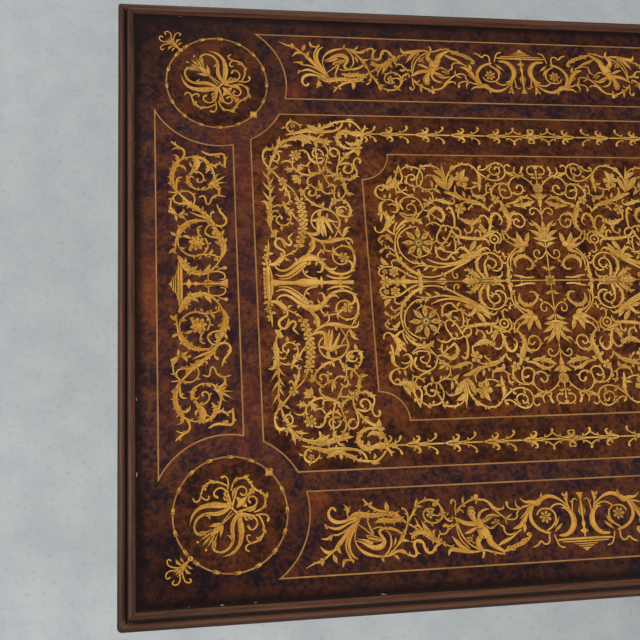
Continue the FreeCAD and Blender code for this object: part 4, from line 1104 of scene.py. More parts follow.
leaf(2.2, (139, 238.5), (136, 235))
leaf(2.2, (133.5, 242.5), (133, 238))
leaf(6.6, (149, 262), (158, 253), (164.5, 241))
stem((162, 252, 1.4), (167, 246.5, 2.4), (170, 238.5, 0.8))
stem((153, 258, 3), (160, 253.5, 5), (168, 252.5, 5), (172.5, 254, 5), (175, 258.5, 1.4))
leaf(3, (152, 260), (153, 252.5), (150, 250))
leaf(5, (152, 261), (147.5, 262), (145.5, 258))
dot(149, 262, 2.8)
stem(
    (149, 260, 2.2), (147, 255.5, 2.2), (142, 255, 2.2), (138.5, 251.5, 2.2), (139.5, 248, 2),
    (142, 247.8, 3.4),
)
stem((141, 246.5, 2.2), (136, 248.5, 2.2), (131, 247.5, 2.2), (127, 242, 2.2))
stem(
    (146, 263, 2.6), (152, 266.5, 3.2), (156, 271.5, 3.2), (160, 271.5, 3.2), (163, 267, 3.2),
    (164.5, 262, 3.2), (168, 260, 3.2), (172, 261, 3.2), (173, 265, 3.2), (171.5, 270, 3),
    (172.5, 273.8, 2.8), (177, 273.5, 2.4), (182, 271.5, 1.4),
)
leaf(3.4, (147, 262.5), (143, 265), (141.5, 268))
leaf(2.4, (144, 264), (142, 261.5))
vine(1.8, (142, 265), (137, 267.5), (131, 269.5))
print(len(strokes), "strokes")

# %% [markdown]
# The child is laid in the same way: wings and legs first, the body over them, then arm
# and head. At this size two dots and a line make the face, with the hair's edge above.

# %% Long border: winged child
swell((107.5, 243, 2.4), (105.5, 238.4, 3.6), (102, 235.6, 3.6), (98, 234.3, 2.4), (95, 234, 0.8))
swell(
    (105, 246.6, 3), (99.6, 244, 5.2), (96, 241.6, 5.8), (92, 240.3, 4), (88, 240.8, 2),
    (84.5, 241.8, 0.8),
)
engrave(0.6, (104.6, 240), (102, 237), (97.5, 235.2))
engrave(0.6, (102, 244.6), (97.6, 242), (90, 241))
swell(
    (107, 260, 6), (109, 262.6, 6.2), (110, 266, 5.8), (107.6, 270, 4.4), (105.2, 274, 3.4),
    (105.6, 277.4, 2.6), (107.2, 279.6, 1.4),
)
swell(
    (98.4, 259.5, 7.6), (97.6, 265, 7.4), (94, 268.6, 6.2), (89.6, 271.6, 4.4), (85.8, 274, 3.2),
    (84.4, 277, 2),
)
swell(
    (108.4, 243.6, 8), (106.6, 248, 9.4), (105.6, 252, 10.4), (103.4, 256, 13.4),
    (102.4, 259.6, 14), (102.2, 261.6, 13),
)
swell((109, 247, 6), (115, 247.2, 5.4), (121, 246, 5), (126, 243.6, 4), (130.6, 240.8, 2))
swell(
    (113.5, 230.8, 5), (113.5, 233, 9), (113.6, 237, 9.6), (113, 240.2, 7.4), (111.4, 243.2, 5.4),
    (110, 246, 5),
)
engrave(0.8, (109.6, 235.6), (111.4, 232.8), (117.4, 234))
engrave(0.6, (115.4, 240), (113.4, 240.4))
for x in (112.4, 115.8):
    dot(x, 236.8, 0.55, vein=GRAVED)
engrave(0.6, (103, 251.4), (107.6, 252.6), (110.2, 251.2))
engrave(0.7, (103.4, 259), (103.8, 262))
vine(2, (101, 249), (96, 252.5), (92, 251.5), (90, 248))
flower(89, 247, 3.8, 5)
leaf(2.6, (89, 245), (93, 247.5), (95.5, 247))
print(len(strokes), "strokes")

# %% Long border: leaf and ribbons below the child
swell(
    (140, 275.5, 1), (138, 270.8, 4.4), (130, 271, 5), (122, 272.5, 4.6), (113, 273.5, 2.6),
    (104, 272.5, 2.2), (95, 275, 2.4), (86, 277, 1.6),
)
swell((119, 272, 2), (127, 267.5, 4.6), (131, 263, 4.4), (135.5, 257.5, 0.8))
swell((129, 243, 2.2), (127, 252, 2.2), (123, 260.5, 2.2), (117, 267, 2.2), (108, 272, 2.2))
swell((129, 245, 1.8), (129, 254, 1.8), (125.5, 263, 1.8), (119, 269.5, 1.8))
swell((111, 251.5, 3), (117, 254.5, 4), (122, 256, 1.2))
ring(117.4, 261.6, 1.7, 1.7)
dot(119.8, 260.2, 1.1)
leaf(1.8, (116.4, 260), (114.6, 258.4), (114, 256.8))
leaf(2.2, (116.2, 263.2), (114.4, 265), (112.4, 265.6))
leaf(2.4, (95, 274.5), (93, 278.5))
print(len(strokes), "strokes")

# %% Long border: arch over the child
swell(
    (129.5, 236, 2.4), (124, 230.5, 2.6), (118, 227, 2.2), (112, 224.5, 2.6), (106, 224.5, 2.6),
    (99, 225.5, 2.6), (94, 229, 3.4), (90.5, 233.5, 4.6), (86, 235, 3), (80, 234, 1.6),
)
leaf(3.4, (121.5, 230), (121, 224.5), (120.3, 219.5))
leaf(3.4, (124, 231), (120, 229.5), (118.5, 231.5))
swell((110, 224.5, 2), (107.5, 222, 5.4), (107, 219.5, 4))
leaf(3.4, (109.5, 224.5), (111.5, 222.5), (113, 223))
leaf(2.8, (107, 224.5), (108, 229.5))
leaf(2.6, (84, 235.5), (81, 234), (80, 230.5))
swell((129.5, 238, 1.8), (129.5, 231, 1.8), (128.5, 226.5, 1.8), (131.5, 223.5, 2), (133, 226, 3.4))
swell((128, 235.5, 1.8), (124, 233.5, 1.8), (121.5, 236, 1.6))
print(len(strokes), "strokes")

# %% Long border: scroll and fruit garland
swell((89, 236, 2), (83, 241, 2.2), (79, 243.5, 2.6), (75.5, 241.5, 2.2), (73, 240.3, 1))
leaf(2.4, (79.5, 242), (79.5, 246.5), (78.5, 251))
swell((79, 244, 1.6), (73, 245.3, 2), (68, 243.5, 2), (67.5, 240, 2), (65, 236, 2.2))
swell(
    (76.7, 228.7, 3.4), (76, 233, 2), (71, 235.5, 2.2), (65, 235.5, 2.2), (59, 233.5, 2.4),
    (52, 232.5, 3),
)
swell((63, 235.5, 2), (67, 232.5, 2.6), (67.5, 226.5, 0.8))
swell(
    (62.5, 225.5, 1.2), (58.5, 228.8, 2.8), (52, 229.5, 4.4), (46, 231, 7), (41, 227.5, 5.6),
    (35, 225, 4.6), (28, 225.5, 4), (21, 229, 2.4), (13, 236, 2),
)
leaf(3, (43, 227), (40.5, 224), (40, 220.5))
swell((52, 233, 2), (57, 241, 2.8), (61, 247, 5.6), (66, 252, 5), (73, 254, 1))
leaf(4.4, (61, 248), (61, 254), (62.5, 259))
swell((54, 233, 1.6), (58, 239, 1.8), (64, 244.5, 1.4))
swell(
    (65, 255.5, 2), (72, 258.5, 2.2), (79, 259, 2), (82, 256, 2), (82.5, 252, 2.6),
    (86, 249.5, 1.4),
)
swell((90, 269, 1.2), (83, 265.5, 4.4), (75, 262, 2.6), (68, 257, 1.6))
swell((86, 275, 1.4), (78, 272.5, 4.6), (70, 269.5, 5), (62, 266.5, 4.6), (55, 261, 1.4))
for x, y in ((79, 271.5), (75, 272.5), (72, 270), (68, 269), (64, 266), (60.5, 265), (57.5, 260)):
    dot(x, y, 2.4)
    dot(x, y, 0.7, vein=GRAVED)
print(len(strokes), "strokes")

# %% Long border: flower and scrolls by the urn
swell((50, 233, 3), (54, 243, 4.4), (50.5, 252, 4), (43.5, 257.5, 3.4), (36, 260, 3))
swell(
    (38, 257.5, 2), (31.5, 253, 2.4), (28, 246, 2.4), (30.5, 239, 2.2), (37, 236.5, 2.2),
    (44, 238, 2.2), (47, 242, 1.8),
)
flower(38.5, 244.5, 6.8, 7)
leaf(3.4, (32, 260), (26, 255), (21, 250.5))
leaf(3.4, (30.5, 256), (27.5, 250), (24, 245))
swell(
    (26, 263, 2.4), (18, 262, 4.6), (12, 257, 6.4), (9.5, 250, 7), (11.5, 242, 5.6),
    (16, 237.5, 3.6), (21, 236.5, 1),
)
swell((33, 237, 1.8), (27, 233, 2.2), (20, 233.5, 2.2), (13, 239, 2.4))
vine(2.2, (10, 241), (9, 233), (7, 228.5), (3.5, 230))
swell((13, 238, 2.2), (14.5, 231, 2), (15, 226, 5), (13, 221.5, 1.4))
leaf(3, (15, 227), (18, 223.5), (18.5, 221.5))
swell(
    (54.5, 272.5, 1.4), (49.5, 270.5, 2.4), (46, 267.5, 2.6), (42, 270.3, 2.2), (38, 269, 2.2),
    (37, 262, 2.4),
)
swell((31.5, 262, 1.6), (29.5, 268.5, 2), (27, 273, 2), (22.5, 274.5, 1.8))
print(len(strokes), "strokes")

# %% Long border: urn on the middle line
swell((0, 270, 34), (0, 272.6, 23), (0, 275.4, 12), (0, 278, 3))
swell((-2, 269.4, 1.8), (12, 269.4, 1.8), (24, 269.2, 1.2))
swell((-2, 266.8, 2.6), (15, 266.8, 2.6), (28, 267.2, 2.2))
for k in range(3):
    engrave(0.7, (-14 + 4 * k, 270.8 + 1.9 * k), (14 - 4 * k, 270.8 + 1.9 * k))
swell(
    (0, 265, 2), (0, 262, 2.6), (0, 259.6, 10.5), (0, 257.4, 3), (0, 252.6, 5), (0, 250, 2.6),
    (0, 245, 4.4), (0, 241, 9), (0, 238, 7.4), (0, 233.5, 5), (0, 228.5, 4.4), (0, 225, 6),
    (0, 222.4, 9.6),
)
engrave(0.6, (0.9, 249), (1.8, 239), (1, 227))

lay("marquetry_long_borders", boxwood, fine=0.87)

# %% [markdown]
# ## Frame panel
# Round the centre panel the ornament is a letter C on each side: a lamp stand on the
# middle line, swans, garlands, birds in rings and flower spirals. From its arms a row of
# bell husks runs along the table to meet the other side.

# %% Frame panel: foot of the lamp stand and the sprig beside it
for y in (1, 5.5, 10, 14.5):
    leaf(4.6, (301.5, y - 2), (304, y), (305.6, y + 2.4))
swell((299.6, -1, 8.6), (299.8, 8, 8), (300.2, 14, 5.6), (300.5, 20, 2.4))
engrave(0.5, (298.4, -1), (298.6, 8), (299.2, 15))
swell((300.5, 17, 1.8), (301.8, 25, 2.2), (300, 33, 2.8), (299, 40, 2.4), (299, 46.5, 0.8))
leaf(3.8, (301, 19), (304, 20.5), (307.4, 22.5))
leaf(3.2, (300.5, 21), (298.4, 22.5), (297.6, 25.5))
flower(302, 27.6, 4, 5)
leaf(3.8, (300.4, 33.4), (297.5, 31.5), (293.4, 32))
leaf(3.6, (299.8, 34), (302.4, 35.5), (304.2, 33.6))
leaf(3, (299.4, 36.5), (301.6, 38.6), (302, 41.4))
print(len(strokes), "strokes")

# %% Frame panel: stand along the middle line
swell(
    (297, 0, 9), (290, 0, 6.4), (280, 0, 4.4), (272, 0, 5), (266, 0, 9.5), (258, 0, 9),
    (252, 0, 9.5), (248, 0, 5), (240, 0, 4), (232, 0, 5.4), (225, 0, 4.2), (213, 0, 5),
)
swell((248, 0, 6), (246.5, 0, 15), (244.8, 0, 6))
vine(2.6, (226.8, 0), (226.8, 5), (226.5, 10))
swell((241, 7.8, 1.4), (234, 5, 2.6), (227, 4.4, 2.6), (220, 5, 2.4), (215, 7.8, 1))
print(len(strokes), "strokes")

# %% [markdown]
# The swan's body and its long tail are a single swell, so its widths alone make the
# bird. The thinner bands that run into it are laid first and end under it.

# %% Frame panel: swan of two bands rising to one body, with a tail scroll round a flower
swell((293, 9, 1.4), (287, 7, 2.4), (280, 9, 3.4), (274, 13, 4.4), (268, 18, 5), (261, 23, 6))
swell((290, 4.5, 1), (282, 4.5, 1.8), (274, 8.5, 2), (267, 14, 2.4), (262, 19, 2.4))
swell(
    (294, 20, 1.4), (291.5, 15.5, 2.2), (286, 13, 2.6), (279, 15, 3.2), (272, 20.5, 4),
    (266, 25, 5.4), (259, 27, 8.5), (252, 26.5, 7), (247, 24, 6.4), (243, 19, 4.8), (238, 13.5, 4),
    (232, 10, 3.4), (225, 9, 3), (219, 10, 3), (213.5, 14, 3), (210.8, 21, 2.8), (210.3, 28, 3),
    (212, 35, 2),
)
leaf(3.2, (268, 24), (271.5, 25), (272, 28))
leaf(3, (247, 25.5), (242.5, 25), (239, 25.5))
leaf(4, (262, 27), (258, 31), (255, 32.5))
swell((266, 17, 2), (264, 11, 2.2), (261, 7, 2.2), (257, 5.3, 2), (251, 4.5, 1.6))
leaf(3, (264, 11), (261, 11.5), (259.5, 13.5))
leaf(3.4, (256, 24), (258, 20.5), (262, 19))
leaf(3, (248, 24), (250.5, 20.5), (251.5, 16.5))
swell((243, 20, 4.4), (244.5, 15.5, 3.4), (246.5, 11.5, 2.4), (250, 11.5, 1.6))
swell((241, 16, 3.4), (236, 14, 3.2), (232, 14.5, 2.4), (229.5, 17.5, 0.8))
swell((214.5, 12, 3), (212.8, 18, 3.6), (215, 22, 3), (220, 24.5, 2))
leaf(2.8, (214, 14.5), (210, 12))
leaf(2.2, (211, 31), (209, 35.5))
swell(
    (218, 22, 1.8), (224, 19.5, 2), (230, 21.5, 2), (233, 27, 2.2), (232, 33, 2.2), (227, 38, 2),
    (220, 39.5, 2), (214, 37, 2), (211, 32, 2),
)
flower(221.5, 27, 6.4, 6)
swell((224, 29, 2.4), (228, 30, 3.4), (231.5, 33, 4), (232, 39.5, 0.8))
leaf(3, (230, 32), (233, 30.5), (235.5, 31))
dot(223, 39.8, 1.8)
swell((249, 27, 2), (248, 31, 2), (243.5, 34.5, 2.2), (238, 34.3, 2), (234, 33.3, 1.6))
leaf(2.6, (243, 34.5), (242, 30.5))
leaf(2.6, (246, 33.5), (244.5, 37))
swell((241, 35, 1.8), (241.5, 40, 1.8), (246, 44.5, 2), (252, 49, 2))
swell((258, 32.5, 3), (254, 37, 5.4), (252.5, 43, 5), (253.5, 50, 2))
leaf(3, (255, 37), (257, 34), (259, 33.5))
leaf(3.4, (254, 39), (256, 41.5), (255, 45))
print(len(strokes), "strokes")

# %% Frame panel: ribbon leaf and crossing tails under the swan
swell(
    (258, 52.5, 1.5), (250, 47, 3.2), (243, 44.5, 3.4), (235, 45, 5.6), (228, 46.5, 5.4),
    (220, 47.5, 3.2), (213, 47, 2.6), (211, 42, 1.4),
)
leaf(3.4, (237, 46), (234.5, 48.5), (234, 52))
swell((259, 54.5, 2), (252, 52.5, 4), (247, 54, 4.4), (243.5, 58, 2))
vine(2, (211, 35), (215, 41), (219, 47))
vine(1.9, (230, 49), (226, 56), (223, 63), (222.5, 69))
vine(1.9, (220.5, 49), (226, 58), (231.5, 67))
swell((220.5, 50, 1.5), (218.5, 55, 5), (216.5, 59, 3.4), (212, 61, 0.8))
leaf(2.8, (218, 54), (216, 56), (214, 55))
print(len(strokes), "strokes")

# %% Frame panel: small dolphin and S ribbon at the outer side
swell((299, 19.5, 2.4), (293, 20.5, 5), (288, 24.5, 6.4), (284, 28.5, 5), (281, 29, 2))
leaf(2.6, (290, 21), (288.5, 17.5))
leaf(3, (283.5, 28.5), (281, 25), (276.5, 24))
leaf(2.8, (287, 28), (286, 31.5), (284.5, 32.5))
vine(1.9, (283, 28.5), (277, 31.5), (271, 35), (267, 40))
dot(273, 33.8, 1.7)
swell(
    (283, 29.5, 2), (283.5, 34, 2.4), (288, 37, 3.2), (291.8, 41, 3.2), (291, 46, 3),
    (287, 48, 2.8), (283, 45, 2.8), (280, 41.5, 2.8), (276.5, 40.8, 2.8), (275.5, 44.5, 2.8),
    (277.8, 48.5, 2.6), (275.5, 51.5, 2.2), (272.5, 54.5, 0.8),
)
vine(1.9, (282, 38), (283.5, 43), (286.5, 47))
swell((296, 49.5, 2), (293.5, 52, 6.4), (291, 55.5, 6), (288.5, 56, 2))
swell((290, 47, 1.6), (292, 51, 2), (295, 57, 2), (296.5, 64, 4))
print(len(strokes), "strokes")

# %% [markdown]
# A dense garland hangs below the swan: a jagged band with short leaves on both sides.
# A function sets the pairs of leaves at equal steps down a bowed line, because a dozen
# pairs placed by hand would not look so even.


# %% Frame panel: garland below the swan
def garland(width, count, top, bottom, sway):
    # Pairs of leaves down a stem that bows sideways, with an engraved dot at each pair.
    spots = []
    for k in range(count):
        t = k / (count - 1)
        x = top[0] + (bottom[0] - top[0]) * t + sway * math.sin(math.pi * t)
        spots.append((x, top[1] + (bottom[1] - top[1]) * t))
    swell(*((x, y, 0.42 * width) for x, y in spots))
    for k, (x, y) in enumerate(spots):
        for side in (-1, 1):
            elbow = reach(x, y, 90 + 55 * side, 0.34 * width)
            tip = reach(x, y, 90 + (62 + 16 * (-1) ** k) * side, 0.64 * width)
            leaf(0.42 * width, (x, y), elbow, tip)
        dot(x + 0.1 * width * (-1) ** k, y + 1.8, 0.07 * width, vein=GRAVED)


garland(10, 12, (267.5, 38), (265, 90), -4.6)
swell(
    (265, 90, 2.4), (267.5, 96, 2), (271, 102, 2), (277, 108, 2.2), (284, 115, 2), (290, 122, 2.6),
    (296, 128.5, 3.4), (300, 135, 1.2),
)
leaf(3.4, (269.5, 99.5), (268.5, 97), (271.5, 98))
print(len(strokes), "strokes")

# %% Frame panel: reed with willow leaves at the outer side
stem(
    (296, 60, 2), (296.8, 66, 5.4), (296, 75, 6), (295.5, 83, 4.4), (294.8, 95, 2.4),
    (295, 105, 2.2), (296, 115, 2.2), (295, 124, 2), (293, 132, 2.4), (291, 138, 4), (288, 143, 3),
    (288.5, 149, 2.2), (290, 155, 1.2),
)
stem((297.5, 80, 4), (298.5, 86, 4), (301, 89, 2.6), (304.5, 88.5, 1))
stem((294.5, 68, 2), (293, 72, 2), (290, 73, 1.4))
vine(1.8, (294.5, 77), (290, 79), (286, 78.3))
for y in (91, 102.5, 114.5):
    horn(3, (295.4, y), (299.8, y + 5.5), (303.4, y + 12))
for x, y in ((286, 97), (288.5, 107.5), (289.5, 117.5), (285.5, 129)):
    horn(2.8, (294.6, y - 8.5), (291.6, y - 3.5), (x, y))
print(len(strokes), "strokes")

# %% Frame panel: spiral and flower between reed and garland
leaf(4, (284.5, 63), (284.5, 59.5), (284.5, 55.5))
stem(
    (284, 70, 3), (284.5, 72.3, 2), (288.5, 71, 2), (289.3, 66.5, 2), (285.5, 63, 2),
    (280, 62.8, 2), (275.5, 67, 2), (274.5, 73, 2), (277, 79, 3),
)
leaf(3.4, (277, 67), (274, 64.5), (271, 65))
leaf(2.4, (275, 70), (277.5, 69), (279.5, 69.5))
stem((282, 86.5, 2), (278.5, 81.5, 4), (274, 77.5, 3), (270, 71, 2), (266, 66, 1.5))
leaf(2.8, (277.5, 79.5), (273, 79), (270, 82))
leaf(2.6, (278, 79), (279.5, 75))
vine(2, (293, 82.5), (287, 85), (281, 84))
stem(
    (282, 86, 2), (277.5, 86.5, 2.2), (274.5, 92, 2), (276, 98, 4), (278.5, 104, 3.4),
    (280, 109, 2.6),
)
leaf(3, (275.5, 90.5), (273, 89), (271.5, 86.5))
leaf(3, (279, 86), (281.5, 88), (282, 90))
leaf(3.2, (276.5, 100), (279, 96.5), (280.5, 94.5))
stem((280, 108, 1.8), (281, 103.5, 2), (283.5, 101.5, 2.2), (285, 103.5, 1.4))
flower(281, 111.5, 5.4, 5, 18)
print(len(strokes), "strokes")

# %% Frame panel: bird in its ring
swell(
    (247, 57, 1.6), (252, 62, 2), (253, 69, 2), (249.5, 76, 2.2), (243, 79.6, 2.4),
    (235, 79.8, 2.6), (228, 75.5, 2.2), (223.8, 68, 2), (224.5, 60, 1.6),
)
swell(
    (254, 68, 1.4), (248, 68, 4.4), (242.5, 69, 9), (237, 68.5, 6), (231, 67, 2.6), (224, 66, 1.2),
)
swell((246, 68, 4), (244, 60, 4.6), (241.5, 50, 1.2))
swell((242, 66, 4), (240, 58, 4), (238.5, 50, 1))
swell((238, 68, 3.4), (234.5, 61, 3.6), (231, 53.5, 1))
swell((247, 66, 3), (246, 58, 4.4), (248, 54, 2))
leaf(4.6, (244, 71), (244.5, 75.5), (241, 79))
leaf(2.6, (236.5, 70), (236, 77))
print(len(strokes), "strokes")

# %% Frame panel: flower spirals to the inner side
leaf(4.6, (215, 72.5), (216, 69), (216.8, 64.5))
stem(
    (215.5, 71.5, 2), (212.5, 73.5, 4), (210.8, 78, 3.4), (211.5, 83.5, 2.4), (214.5, 88.5, 2.2),
    (219, 91, 2.4),
)
stem(
    (213, 72.5, 2), (219, 72.8, 2.4), (224.5, 75.5, 3.4), (225, 80, 3), (221, 83, 2.6),
    (216.5, 82.5, 2), (215, 80, 1.4),
)
leaf(6, (224.5, 76.5), (221, 78.5), (217, 77.5))
leaf(4.6, (218.5, 86.5), (216.5, 89), (215.5, 92.5))
stem(
    (233.5, 79, 3), (231.5, 85, 2.2), (228.5, 90, 3.4), (222, 91, 2.8), (217.5, 95, 2.2),
    (214.7, 100, 2.2), (215.5, 107, 4.6), (216.3, 112, 2.6), (220, 117, 2),
)
leaf(2.8, (228, 90), (226, 85.5))
leaf(2.8, (227.5, 89), (229.5, 91.5), (229.5, 94.5))
leaf(3.4, (222, 91.5), (222.3, 97), (222.8, 103))
stem((216, 98, 1.6), (211.5, 99, 2.6), (206, 97.3, 1.2))
leaf(2.6, (213, 99), (211, 95.5))
stem(
    (242.5, 113, 1.8), (241.5, 106, 3.4), (239.5, 101.5, 2.2), (234, 98, 2), (228.5, 100, 2),
    (226, 105, 2.2), (229.5, 108.7, 3), (233.5, 105.5, 1.4),
)
stem((226.5, 91.5, 1.8), (227.5, 97, 1.6), (229.5, 103, 1.6))
vine(1.9, (230.5, 107), (234.5, 114), (238.5, 122))
leaf(3.6, (242.5, 101), (240.5, 107), (239, 112))
leaf(2.4, (240, 103.5), (237, 105))
stem(
    (234, 80, 2), (242, 83, 2.2), (249, 86, 3.4), (255, 91, 2.2), (259, 97, 2.2), (257, 103.5, 2.2),
    (251.5, 107, 2.2), (247, 103.5, 2), (247.2, 98, 2), (251, 95.5, 2), (254.3, 98, 2.2),
    (252.5, 100.8, 3),
)
leaf(3, (250, 86.5), (252, 84))
leaf(3.6, (240.5, 82), (240, 85.5), (238, 89.5))
stem((246.5, 104, 1.6), (246, 98, 1.8), (245, 93, 1.4))
leaf(3.4, (245.8, 95), (243, 95.5), (241, 94.5))
leaf(2.6, (245.5, 95), (246.5, 92))
stem((262.5, 95.5, 2), (261, 99.5, 5.4), (263.5, 104, 1))
vine(1.6, (241.5, 101.5), (244.5, 102.5), (247.5, 104))
stem((251, 107, 1.9), (255, 110, 1.9), (253.5, 115.5, 1.9), (247, 119, 2.2), (240, 121.5, 2.2))
leaf(2.2, (252.5, 107), (250, 110))
print(len(strokes), "strokes")

# %% Frame panel: lily, and vines crossing below
leaf(5, (262, 118), (267, 117), (272, 119))
leaf(5, (262, 117), (266, 113), (270, 109.5))
leaf(4.6, (262, 117), (263.5, 112), (263, 107.5))
leaf(4.6, (262.5, 118), (268, 114.5), (272.5, 114))
stem((262, 117.5, 2.2), (257, 119.8, 1.8), (248, 119.5, 2))
stem((226.5, 111.5, 1), (224.3, 115, 3.6), (219.5, 116.8, 4.4), (215, 113, 2.4))
stem((237, 118, 1.6), (229, 119, 2.2), (221, 118, 2.2), (214, 115, 2), (209, 114.5, 2.4))
stem((210, 114, 3), (206.5, 116, 4), (203, 120.5, 1.4))
leaf(3, (219.5, 118), (219, 121), (217.5, 124.5))
stem(
    (269, 128, 2.2), (262, 121.5, 2.6), (254, 119.3, 2.6), (246, 120, 2.6), (240, 123, 2.6),
    (235, 127.5, 3),
)
stem((266, 123, 2.4), (262.5, 127, 5.4), (260.5, 133, 1.2))
leaf(3, (262, 127), (258.5, 125.5))
stem((268, 126.5, 2), (273, 125.3, 4.6), (279.5, 126, 0.8))
leaf(2.8, (272, 125), (271.5, 121.5))
stem((269, 129, 2), (272, 134, 2.2), (277, 135.3, 2.2), (281.8, 132.8, 1))
vine(2.2, (269, 127), (270, 133), (268, 139))
flower(266, 142, 7, 7)
print(len(strokes), "strokes")

# %% Frame panel: spirals below the lily
stem(
    (262, 147, 1.8), (257, 148, 2.2), (252.5, 144, 2.2), (250.8, 138.5, 3), (246.5, 134.5, 3.4),
    (240.5, 133.6, 2.8), (236, 137, 2.4), (235.5, 142, 2.2), (239, 148, 2.2), (244, 149, 2.2),
    (247.5, 145, 2.2), (245.5, 140.5, 2.2), (240, 139, 2.2), (234, 141, 2.4), (230.5, 146, 2.2),
    (233, 152.5, 2.2), (237, 158, 2),
)
stem((260.5, 131, 1.8), (255, 130, 2), (251, 134.5, 2))
stem(
    (252.5, 126, 2.4), (252, 123, 2), (247, 121.5, 2.2), (241, 123, 2.2), (242.5, 132, 2),
    (243.8, 142, 2), (243.5, 153, 2),
)
stem((237, 123.5, 2), (235, 128, 5.4), (232.5, 125, 3.4), (226, 120.5, 2.6), (220, 117.5, 1.6))
leaf(3, (233.5, 134.5), (229.5, 134), (226, 132.5))
vine(1.9, (235, 130), (232.5, 138), (231, 147), (236, 156))
stem(
    (222, 141.5, 1.8), (225.5, 141.5, 2.6), (228.5, 144.5, 2.4), (228, 149, 2.4),
    (223.5, 150.5, 2.4), (219.5, 147, 2.4), (218.7, 140, 2.2), (220.5, 132, 2.2),
)
stem(
    (221.5, 118, 1.8), (222.3, 125, 2), (220.5, 131.5, 2.2), (216, 137, 2.4), (211, 143, 3.4),
    (204, 147.5, 3.4), (198, 150.5, 3.4),
)
stem(
    (219, 131.5, 2), (213, 133.5, 3), (208, 133, 2.2), (205.3, 128.5, 2.2), (207, 123.5, 2.2),
    (212, 122, 2.2), (215.3, 125.5, 2.4), (213, 129.5, 3),
)
stem(
    (208, 115, 2.2), (202.5, 118, 2.2), (201, 124, 2.2), (203.5, 131, 2.2), (203, 136.5, 2.2),
    (199.5, 139.5, 2.2), (196.3, 137.5, 2.2), (196.8, 134.3, 3),
)
leaf(3, (212.5, 142), (215, 146.5))
leaf(3, (214, 140), (210.5, 140), (207, 140.5))
print(len(strokes), "strokes")

# %% Frame panel: end scroll of the arm and its leaf
HUSK_LINE = 168.5
leaf(6.4, (198, 153), (198, 147.5), (198, 141))
stem(
    (194, 152, 3.4), (203, 151, 2.8), (211, 151.5, 3.4), (217, 155, 4.6), (220, 162, 5),
    (217, 168, 5.6), (211, 171, 5.6), (204, 170, 3),
)
stem((199, 151, 3), (195.5, 157, 3.4), (192.5, 163, 3.4), (194, 168, 5))
stem((211, 159, 1.4), (206, 155.8, 4), (200, 156.5, 4.4), (195, 160.5, 3))
leaf(3.6, (217, 166), (215.5, 162))
leaf(3.6, (211.5, 170), (210, 165.5), (210.3, 162.5))
stem((198, 161.5, 2.6), (195.5, 160, 2), (192.5, 161.5, 2), (191, 166, 2.4))
stem(
    (207, 169, 2.4), (201, 168.7, 7), (194, HUSK_LINE, 7), (188, HUSK_LINE, 3.4),
    (180, HUSK_LINE, 2), (172, HUSK_LINE, 1.8),
)
stem((189, 165, 2.4), (187, 161.5, 2.2), (188, 159, 1.2))
stem((192, 171, 3), (189, 174.5, 3.2), (188, 178.5, 1.8))
for side in (-1, 1):
    stem(
        (189, HUSK_LINE + 0.6 * side, 1.6), (184, HUSK_LINE + 2 * side, 1.8),
        (179.5, HUSK_LINE + 4.5 * side, 1.8), (177.5, HUSK_LINE + 8.3 * side, 3.2),
    )
print(len(strokes), "strokes")

# %% Frame panel: ring at the reed's foot and the long leaf stem
stem((291.5, 138, 2), (287, 134.6, 2.2), (283.5, 138, 2.2), (284.5, 143.5, 2.2), (289, 145, 2.4))
stem((296, 128, 2.4), (300, 135, 2.4), (300.3, 143, 2.4), (297, 148.5, 4), (291, 148, 2.2))
leaf(3, (297, 130), (299, 133), (302, 135.5))
leaf(3, (289, 145), (283, 146.3), (278, 145.5))
leaf(2.8, (291, 124), (288, 127.5), (284.5, 129.5))
stem(
    (288, 146, 1.8), (284, 152.5, 4.6), (278, 157.5, 3.4), (270, 161, 3.4), (261, 163.5, 5),
    (252, 163.5, 6), (243, 161, 6.6), (234, 159, 6.4), (224, 158.8, 0.8),
)
leaf(6, (262, 163), (254, 160), (247, 155))
leaf(4.6, (243, 160), (243.5, 155.5), (240.5, 151.5))
leaf(4, (236, 158), (231, 156), (228, 154.5))
stem((284.5, 152, 2), (283, 157, 3.6), (282, 164, 0.8))
stem((281, 151, 1.4), (276.5, 153, 3.4), (268.5, 153.5, 0.8))
leaf(2.6, (278, 152.5), (275.5, 150))
stem((275, 158.5, 2), (267, 160.7, 2.2), (260.5, 160.5, 2.2), (257, 157, 2.2), (257.5, 153.3, 3))
print(len(strokes), "strokes")

# %% Frame panel: bottom band, with its own small flower
stem(
    (275.5, 165.5, 1.4), (268, 167.3, 2.8), (260, 169, 4), (252, 171.5, 5.6), (244, 170.5, 5.6),
    (236, 170, 4.4), (228, 170.5, 3.2), (220, 172.5, 2.8), (214.5, 177, 2.8), (213, 182.5, 2),
)
stem(
    (268, 168.5, 1.8), (272.5, 171.5, 2.2), (273.6, 177, 2.4), (270, 181, 3), (264.5, 181, 2.2),
    (260, 177.8, 2), (257, 178, 1.4),
)
flower(267, 176.8, 3.4, 5)
leaf(2.6, (273.5, 174), (277, 174.3), (280, 171.8))
leaf(2.4, (268, 181), (267, 183.5))
leaf(2.4, (269.5, 170.5), (265, 170.8))
stem(
    (252.5, 178, 1), (247, 175.3, 4.6), (240.5, 173, 5), (234, 175, 3), (226, 178.7, 4.4),
    (219, 184, 0.8),
)
leaf(4.4, (240, 174), (238, 177), (238.5, 181))
vine(2.2, (242, 160), (238.5, 165.5), (234.5, 167.5))
stem(
    (231, 178, 1.4), (221, 181.3, 2.2), (212, 183, 2.8), (204, 183, 2.8), (198, 179.3, 2.4),
    (193.5, 173.5, 2.2),
)
leaf(3.4, (206.5, 181.5), (204.5, 178.5), (205.5, 175))
leaf(2.8, (211, 183.5), (205, 185.3), (200, 184.5))
print(len(strokes), "strokes")

